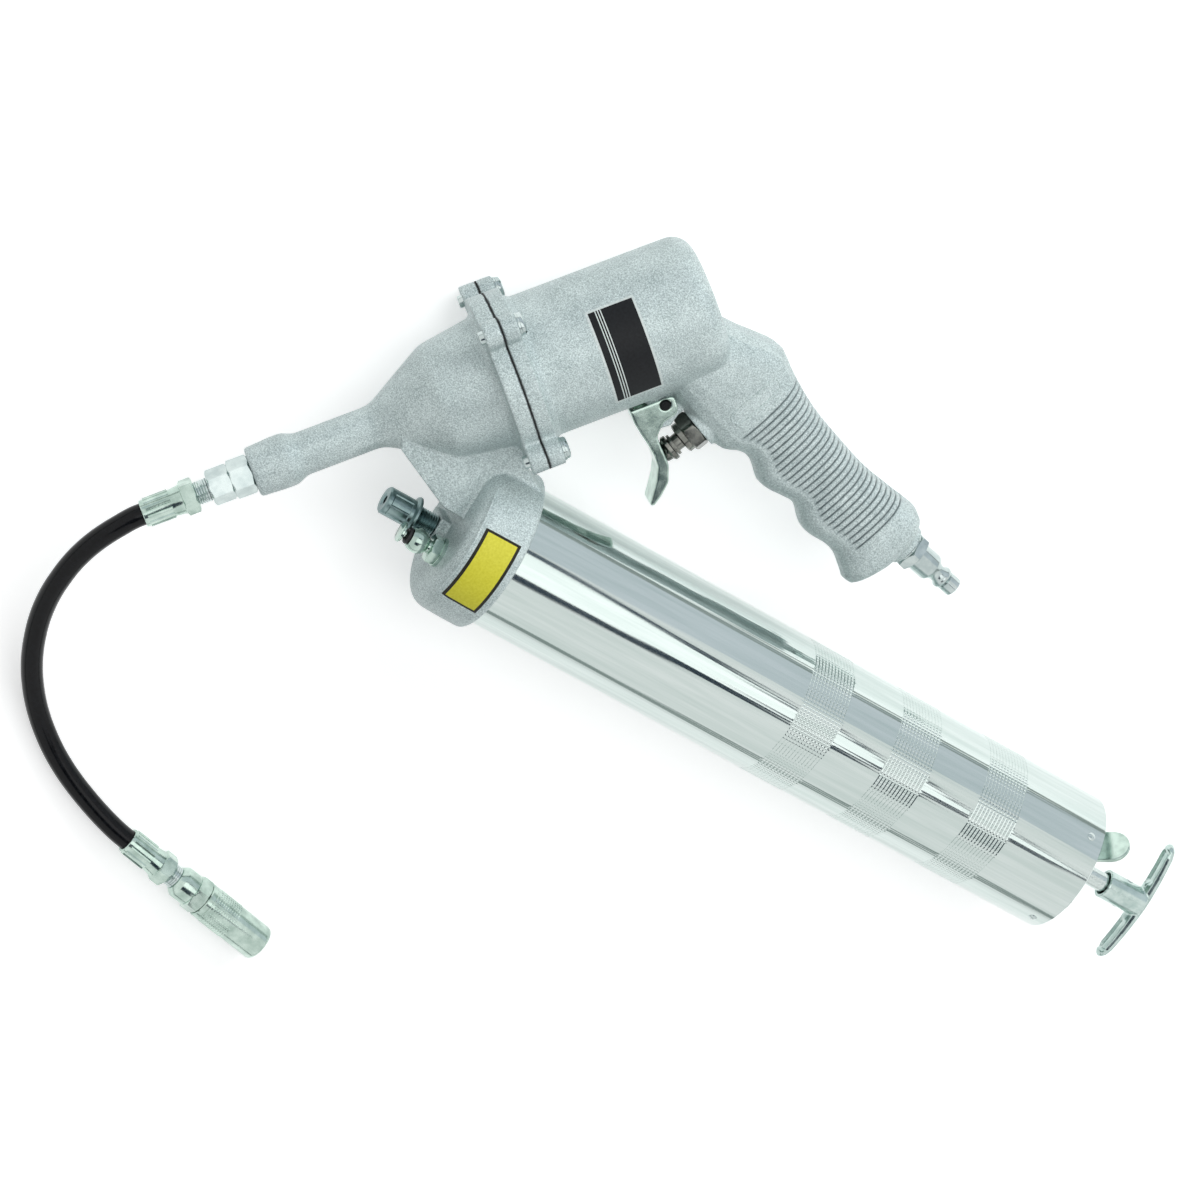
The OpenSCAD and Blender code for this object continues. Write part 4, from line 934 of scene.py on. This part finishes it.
def flank_outline():
    """Outline of a stadium on the grip's upper flank, in the gun's frame."""
    ends = (Vector((128.8, 91.2)), Vector((133.8, 107.8)))
    along = (ends[1] - ends[0]).normalized()
    heading = math.degrees(math.atan2(along.y, along.x))
    path = []
    for end, other, start in ((ends[0], ends[1], 90), (ends[1], ends[0], -90)):
        for k in range(13):
            angle = math.radians(heading + start + 15 * k)
            path.append(end + 2.7 * Vector((math.cos(angle), math.sin(angle))))
        side = path[-1] - end
        path += [end + side + (other - end) * k / 12 for k in range(1, 12)]
    return [(Vector((spot.x, spot.y, 60)), Vector((0, 0, -1))) for spot in path]


def cast_bead(name, skin, drops, radius, closed=True):
    """Thin half-sunk bead along points that are dropped on a casting, in the gun's frame."""
    path = [dropped(skin, GUN, start, way) for start, way in drops]
    last = len(path) - 1
    bm = bmesh.new()
    rings = []
    for k, spot in enumerate(path):
        before = path[k - 1] if closed or k else spot
        after = path[(k + 1) % len(path)] if closed or k < last else spot
        out = -drops[k][1]
        across = (after - before).cross(out).normalized()
        # An open bead tapers to its ends
        size = radius if closed else radius * min(1.0, 0.25 + 0.25 * min(k, last - k))
        rings.append([bm.verts.new(spot + size * (across * math.cos(angle) + out * math.sin(angle)))
                      for angle in steps(0, math.tau, 8)[:-1]])
    bridge(bm, rings, closed)
    if not closed:
        bm.faces.new(rings[0])
        bm.faces.new(rings[-1])
    return placed(name, bm, GUN, "paint")


LABEL_TOP, LABEL_ROOT = 0.06, -0.15


def surface_patch(name, skin, place, stations, angles, radius):
    """Thin label that follows a casting: its grid is dropped on the skin from outside."""
    bm = bmesh.new()
    layer = bm.loops.layers.uv.new("Face")
    flat = {}
    rings = []
    for x in stations:
        ring = []
        for a, height in [(a, LABEL_TOP) for a in angles] \
                + [(a, LABEL_ROOT) for a in reversed(angles)]:
            out = Vector((0, math.sin(a), math.cos(a)))
            start = Vector((x, 0, 0)) + out * (radius + 8)
            vert = bm.verts.new(dropped(skin, place, start, -out) + out * height)
            flat[vert] = (x - stations[0], (a - angles[0]) * radius)
            ring.append(vert)
        rings.append(ring)
    bridge(bm, rings, False)
    for ring in (rings[0], rings[-1]):
        for j in range(len(angles) - 1):
            bm.faces.new((ring[j], ring[j + 1], ring[-2 - j], ring[-1 - j]))
    for face in bm.faces:
        for loop in face.loops:
            loop[layer].uv = flat[loop.vert]
    return placed(name, bm, place, name, 30)


class GUN_OT_labels(bpy.types.Operator):
    """Lays the two bare labels on the castings: black on the motor, yellow on the barrel's cap"""
    bl_idname = "gun.labels"
    bl_label = "Labels"

    def execute(self, context):
        # Each label has its border, and the black one has three more lines near one end
        width, height = 19.0, math.radians(84.5) * MOTOR_RADIUS
        FINISHES["motor_label"] = printed_foil(
            "foil label, printed black", ("#0C0E11", "#16191C"), ("#C3CFCE", "#DCE5E3"),
            ((-1, 0.9), (3.5, 3.9), (4.5, 4.9), (5.5, 5.9), (width - 0.9, width + 1)),
            ((-1, 0.9), (height - 0.9, height + 1)), 0.42)
        width, height = 15.0, math.radians(58.8) * CAP_RADIUS
        FINISHES["cap_label"] = printed_foil(
            "vinyl label, printed yellow", ("#D2CD38", "#DFDB49"), ("#1B1B16", "#26261E"),
            ((-1, 1.2), (width - 1.2, width + 1)), ((-1, 1.0), (height - 1.0, height + 1)), 0.4)
        for name, casting, place, stations, degrees, radius in (
                ("motor_label", "motor_and_grip_casting", MOTOR, steps(110, 129, 12),
                 steps(-41, 43.5, 40), MOTOR_RADIUS),
                ("cap_label", "pump_head_casting", GUN, steps(63.8, 78.8, 12),
                 steps(-37.2, 21.6, 30), CAP_RADIUS)):
            label = surface_patch(name, skin_of(bpy.data.objects[casting]), place, stations,
                                  [math.radians(angle) for angle in degrees], radius)
            on_body(label, "gun", "gasket_fibre")
        return {"FINISHED"}


class GUN_OT_flange_screws(bpy.types.Operator):
    """Sets the four slotted screws and their washers in the flange's ears"""
    bl_idname = "gun.flange_screws"
    bl_label = "Flange screws"

    def execute(self, context):
        bm = bmesh.new()
        add_turned(bm, [
            (-15.7, 0), (-15.7, 2.2), (-15.2, 2.5), (0, 2.5), (0, 4.1), (0.1, 4.2), (0.9, 4.2),
            (1.3, 4.05), (1.6, 3.75), (1.8, 3.2), (1.9, 2.2), (1.92, 0)], 48)
        screw = pattern_piece(bm)
        slot = bmesh.new()
        bmesh.ops.create_cube(slot, size=1)
        bmesh.ops.scale(slot, vec=(1.2, 12, 2.6), verts=slot.verts)
        bmesh.ops.translate(slot, vec=(0, 0, 2.3), verts=slot.verts)
        cutter = pattern_piece(slot)
        modify(screw, "BOOLEAN", operation="DIFFERENCE", object=cutter)
        evaluated_mesh(screw)
        bpy.data.objects.remove(cutter)
        ears = {"Around": 4, "Radius": 35.8, "First_Angle": math.radians(45)}
        screws = rows("flange_screw_set", screw, MOTOR_AXIS @ shift(0, 0, 86), "zinc", **ears)
        on_body(screws, "gun", "zinc_steel", "flange_screws")
        bm = bmesh.new()
        add_turned(bm, ring_stations(4.5, 2.65, 0, 0.9, 0.15), 48)
        washers = rows("lock_washer_set", pattern_piece(bm), MOTOR_AXIS @ shift(0, 0, 85.1),
                       "zinc", **ears)
        on_body(washers, "gun", "zinc_steel", "lock_washers")
        return {"FINISHED"}


# Outlet, filler and bleeder


class GUN_OT_outlet(bpy.types.Operator):
    """Makes the outlet adapter of two chamfered hexagons"""
    bl_idname = "gun.outlet"
    bl_label = "Outlet adapter"

    def execute(self, context):
        adapter = turned("outlet_fitting", MOTOR_AXIS, "zinc",
                         (hex_stations(-32.4, -24, 13, 1.6), 15),
                         (hex_stations(-40.8, -32.2, 12, 4.7), 15),
                         ring_stations(4.9, 1.6, -25, -13, 0.3))
        on_body(adapter, "gun", "zinc_steel", "outlet_adapter")
        return {"FINISHED"}


class GUN_OT_filler(bpy.types.Operator):
    """Makes the bulk filler fitting and the air bleeder with its button"""
    bl_idname = "gun.filler"
    bl_label = "Filler and bleeder"

    def execute(self, context):
        bm = bmesh.new()
        add_turned(bm, [
            (33.7, 1.6), (33.2, 2.9), (33.2, 4.9), (33.8, 5.5), (35.1, 5.5), (35.5, 5.5),
            (43.0, 5.5), (43.4, 5.5), (44.5, 5.5), (44.8, 6.0), (45.2, 7.1), (45.5, 7.3),
            (46.0, 7.3), (46.3, 6.9), (47.0, 5.2), (47.6, 3.9), (68, 3.9), (68, 1.6)])
        # Two sunk panels on the side that shows
        for vert in bm.verts:
            angle = math.degrees(math.atan2(vert.co.y, vert.co.x)) % 360
            if 35.3 < vert.co.z < 43.2 and (124 < angle < 174 or 182 < angle < 224):
                vert.co.x, vert.co.y = 0.93 * vert.co.x, 0.93 * vert.co.y
        filler = placed("filler_nipple", bm, FILLER_AXIS, "dark_zinc", 20)
        on_body(filler, "gun", "zinc_steel", "filler_fitting")
        crests = thread_rings("filler_thread", FILLER_AXIS, "dark_zinc", 4.5, 0.6, 47.6, 55, 1.05)
        on_body(crests, "gun", "zinc_steel")

        ball = [(49.4 - 5 * math.cos(math.radians(a)), 5 * math.sin(math.radians(a)))
                for a in steps(50.2, 149.2, 11)]
        body = turned("bleeder_nipple", BLEEDER_AXIS, "pale_zinc",
                      [(46.2, 1.3), (46.2, 3.6)] + ball + [(54.0, 2.6), (68, 2.5), (68, 1.3)],
                      hex_stations(54.5, 58.3, 10, 2.4),
                      [(58.1, 2.4), (58.1, 5.6), (58.3, 5.9), (59.5, 5.9), (59.5, 2.4)])
        on_body(body, "gun", "plated_steel", "bleeder_body")
        button = turned("bleeder_push_button", BLEEDER_AXIS, "pale_zinc", [
            (41.7, 0), (41.7, 3.6), (42.0, 4.05), (42.7, 4.1), (43.0, 3.8), (43.0, 1.25),
            (54.2, 1.25), (54.2, 0)])
        on_body(button, "bleeder_button", "plated_steel", "bleeder_button")
        return {"FINISHED"}


# Trigger, valve and air plug


class GUN_OT_trigger(bpy.types.Operator):
    """Makes the folded trigger and its pin with rounded sheet edges"""
    bl_idname = "gun.trigger"
    bl_label = "Trigger"

    def execute(self, context):
        lever = cast_copy("trigger_lever", "trigger", MOTOR, "pale_zinc", 0.3, 3, 0.4)
        on_body(lever, "trigger", "plated_steel", "trigger")
        pin = turned("trigger_pivot", MOTOR @ shift(128.3, -30.5), "blackened", [
            (-7.1, 0), (-7.1, 1.6), (-6.8, 1.95), (6.8, 1.95), (7.1, 1.6), (7.1, 0)])
        on_body(pin, "gun", "black_steel", "trigger_pin")
        return {"FINISHED"}


class GUN_OT_valve(bpy.types.Operator):
    """Makes the air valve's body and its stem"""
    bl_idname = "gun.valve"
    bl_label = "Air valve"

    def execute(self, context):
        body = turned("valve_cartridge", VALVE_AXIS, "nickel",
                      ring_stations(5.4, 2.1, -13, 1, 0.3),
                      (hex_stations(0, 5.5, 14, 2.1), 30),
                      [(5, 3.35), (5, 6.1), (7.4, 6.2), (7.9, 5.5), (7.9, 3.35)])
        on_body(body, "gun", "dark_nickel", "valve_body")
        stem = turned("valve_push_stem", VALVE_AXIS, "nickel", [
            (-15.05, 0), (-15.05, 3.6), (-13.25, 3.6), (-13.25, 2.05), (6.9, 2.05), (6.9, 3.3),
            (10.4, 3.3), (10.5, 4.4), (11.5, 4.5), (11.6, 4.3), (11.6, 3.4), (11.9, 3.4),
            (11.9, 4.9), (12.2, 5.2), (13.6, 5.2), (14.0, 4.8), (14.4, 4.1), (16.2, 3.8),
            (16.6, 3.5), (16.97, 3.0), (17.24, 2.4), (17.45, 1.8), (17.59, 1.2), (17.67, 0.6),
            (17.7, 0)])
        on_body(stem, "valve_stem", "dark_nickel", "valve_stem")
        return {"FINISHED"}


class GUN_OT_air_plug(bpy.types.Operator):
    """Makes the quick-connect air plug at the grip's end"""
    bl_idname = "gun.air_plug"
    bl_label = "Air plug"

    def execute(self, context):
        plug = turned("air_nipple", PLUG_AXIS, "zinc",
                      ring_stations(7, 2.4, 0.3, 1.1, 0.2),
                      hex_stations(1, 5.2, 14, 2.4),
                      [(-11.5, 2.4), (-11.5, 6.1), (-11.2, 6.4), (0.5, 6.4), (5, 5.7), (13.1, 5.7),
                       (13.6, 5.5), (15.4, 3.9), (17.0, 3.5), (18, 3.6), (18.9, 4.3), (19.3, 4.5),
                       (19.9, 4.5), (20.4, 4.35), (21.2, 3.4), (21.6, 3.9), (26, 3.9), (26.5, 3.4),
                       (26.5, 2.4)])
        on_body(plug, "gun", "zinc_steel", "air_plug")
        return {"FINISHED"}


# Barrel and handle


class GUN_OT_barrel(bpy.types.Operator):
    """Makes the chrome barrel with its three knurled bands, and its rivets"""
    bl_idname = "gun.barrel"
    bl_label = "Barrel"

    def execute(self, context):
        sizes = context.scene.gun_barrel
        radius, depth = sizes.radius, sizes.knurl_depth
        front, rear, inside = float(BARREL_FRONT), 347.7, 27.3
        first_band, pitch, length, grooves, half = 207.2, 41.6, 19.3, 13, 0.35
        stations = [(front + 0.3, 0.0), (front + 60, 0.0)]
        for band in range(3):
            start = first_band + band * pitch
            stations.append((start - 0.6, 0.0))
            for k in range(grooves):
                middle = start + (k + 0.5) * length / grooves
                stations += [(middle - half, 0.5), (middle, 1.0), (middle + half, 0.5)]
            stations.append((start + length + 0.6, 0.0))
        stations.append((rear - 0.4, 0.0))
        columns = []
        for cell in range(sizes.cells_around):
            middle = 360 * cell / sizes.cells_around
            reach = math.degrees(half / radius)
            columns += [(middle - reach, 0.0), (middle, 1.0), (middle + reach, 0.0)]
        bm = bmesh.new()
        grid = []
        outer = [(front, radius - 0.3, 0.0)] + [(x, radius, ring) for x, ring in stations] \
            + [(rear, radius - 0.4, 0.0), (rear, inside + 0.3, 0.0), (rear - 0.3, inside, 0.0),
               (front, inside, 0.0)]
        for x, r, ring in outer:
            row = []
            for degrees, cross in columns:
                share = 1.0 if ring == 1.0 else 0.45 * cross if ring == 0.5 else 0.0
                reach, angle = r - depth * share, math.radians(degrees)
                row.append(bm.verts.new((reach * math.cos(angle), reach * math.sin(angle), x)))
            grid.append(row)
        bridge(bm, grid, True)
        tube = placed("barrel_shell", bm, BARREL_AXIS, "chrome", 20)
        on_body(tube, "gun", "barrel_chrome", "barrel_tube")

        bm = bmesh.new()
        add_turned(bm, [
            (-2.6, 0), (-2.6, 1.1), (-0.05, 1.1), (-0.05, 1.7), (0.15, 1.65), (0.4, 1.3),
            (0.55, 0.7), (0.45, 0.5), (0.2, 0.35), (0.15, 0)], 24)
        bmesh.ops.transform(bm, matrix=turn(90, "Y"), verts=bm.verts)
        rivets = rows("end_cap_rivets", pattern_piece(bm), BARREL_AXIS @ shift(0, 0, 341.7), "zinc",
                      Around=4, Radius=radius, First_Angle=math.radians(140))
        on_body(rivets, "gun", "zinc_steel", "cap_rivets")
        return {"FINISHED"}


class GUN_OT_handle(bpy.types.Operator):
    """Makes the cast T-handle and the latch lever with rounded edges"""
    bl_idname = "gun.handle"
    bl_label = "Handle and latch"

    def execute(self, context):
        handle = cast_copy("pull_handle", "t_handle", GUN, "cast_zinc", 0.35, 5, 0.5)
        inverse = GUN.inverted()
        # The webs between the rims of the arms are sunk on the side towards the barrel
        depths = []
        for vert, normal in zip(handle.data.vertices, handle.data.vertex_normals):
            spot = inverse @ vert.co
            share = min(1.0, (3.3 - abs(spot.z)) / 0.9, (abs(spot.y) - 8.5) / 1.5,
                        (24.5 - abs(spot.y)) / 1.5)
            depths.append(max(0.0, 1.5 * share) if normal.vector.x < -0.3 else 0.0)
        for vert, depth in zip(handle.data.vertices, depths):
            vert.co.x += depth * MILLIMETRE
        on_body(handle, "rod", "plated_steel", "t_handle")
        latch = cast_copy("latch_plate", "latch_lever", GUN @ turn(38, "X"), "pale_zinc",
                          0.3, 3, 0.4)
        on_body(latch, "latch", "zinc_steel", "latch_lever")
        return {"FINISHED"}


class GUN_OT_cad_finishes(bpy.types.Operator):
    """Gives each CAD node that still shows its own finish"""
    bl_idname = "gun.cad_finishes"
    bl_label = "Finishes of the other parts"

    def execute(self, context):
        by_slot = {
            "hammer_paint": "paint", "gasket_fibre": "gasket", "zinc_steel": "zinc",
            "plated_steel": "pale_zinc", "ground_steel": "ground", "spring_steel": "spring",
            "black_steel": "blackened", "dark_nickel": "nickel", "aluminium": "aluminium",
            "barrel_chrome": "chrome", "seal_rubber": "rubber", "hose_cover": "hose",
        }
        for name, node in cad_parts.items():
            for slot in node.material_slots:
                base = slot.material.name.split(".")[0]
                slot.material = FINISHES[by_slot.get(base, "zinc")]
        return {"FINISHED"}


class GUN_PT_pieces(bpy.types.Panel):
    """Lists the makers of the gun's pieces"""
    bl_idname = "GUN_PT_pieces"
    bl_label = "Grease gun"
    bl_space_type = "VIEW_3D"
    bl_region_type = "UI"
    bl_category = "Grease gun"

    def draw(self, context):
        for group in SIZE_GROUPS:
            sizes = getattr(context.scene, group)
            for name in sizes.bl_rna.properties.keys():
                if name not in ("rna_type", "name"):
                    self.layout.prop(sizes, name)
        for maker in MAKERS:
            self.layout.operator(maker.bl_idname)


MAKERS = (
    GUN_OT_stage, GUN_OT_hose, GUN_OT_castings, GUN_OT_labels, GUN_OT_flange_screws,
    GUN_OT_outlet, GUN_OT_filler, GUN_OT_trigger, GUN_OT_valve, GUN_OT_air_plug,
    GUN_OT_barrel, GUN_OT_handle, GUN_OT_cad_finishes,
)


def register():
    for group in SIZE_GROUPS.values():
        bpy.utils.register_class(group)
    for name, group in SIZE_GROUPS.items():
        setattr(bpy.types.Scene, name, bpy.props.PointerProperty(type=group))
    for maker in MAKERS + (GUN_PT_pieces,):
        bpy.utils.register_class(maker)


def unregister():
    for maker in reversed(MAKERS + (GUN_PT_pieces,)):
        bpy.utils.unregister_class(maker)
    for name in SIZE_GROUPS:
        delattr(bpy.types.Scene, name)
    for group in reversed(list(SIZE_GROUPS.values())):
        bpy.utils.unregister_class(group)


def main():
    register()
    make_finishes()
    for maker in MAKERS:
        section, name = maker.bl_idname.split(".")
        getattr(getattr(bpy.ops, section), name)()


if __name__ == "__main__":
    main()
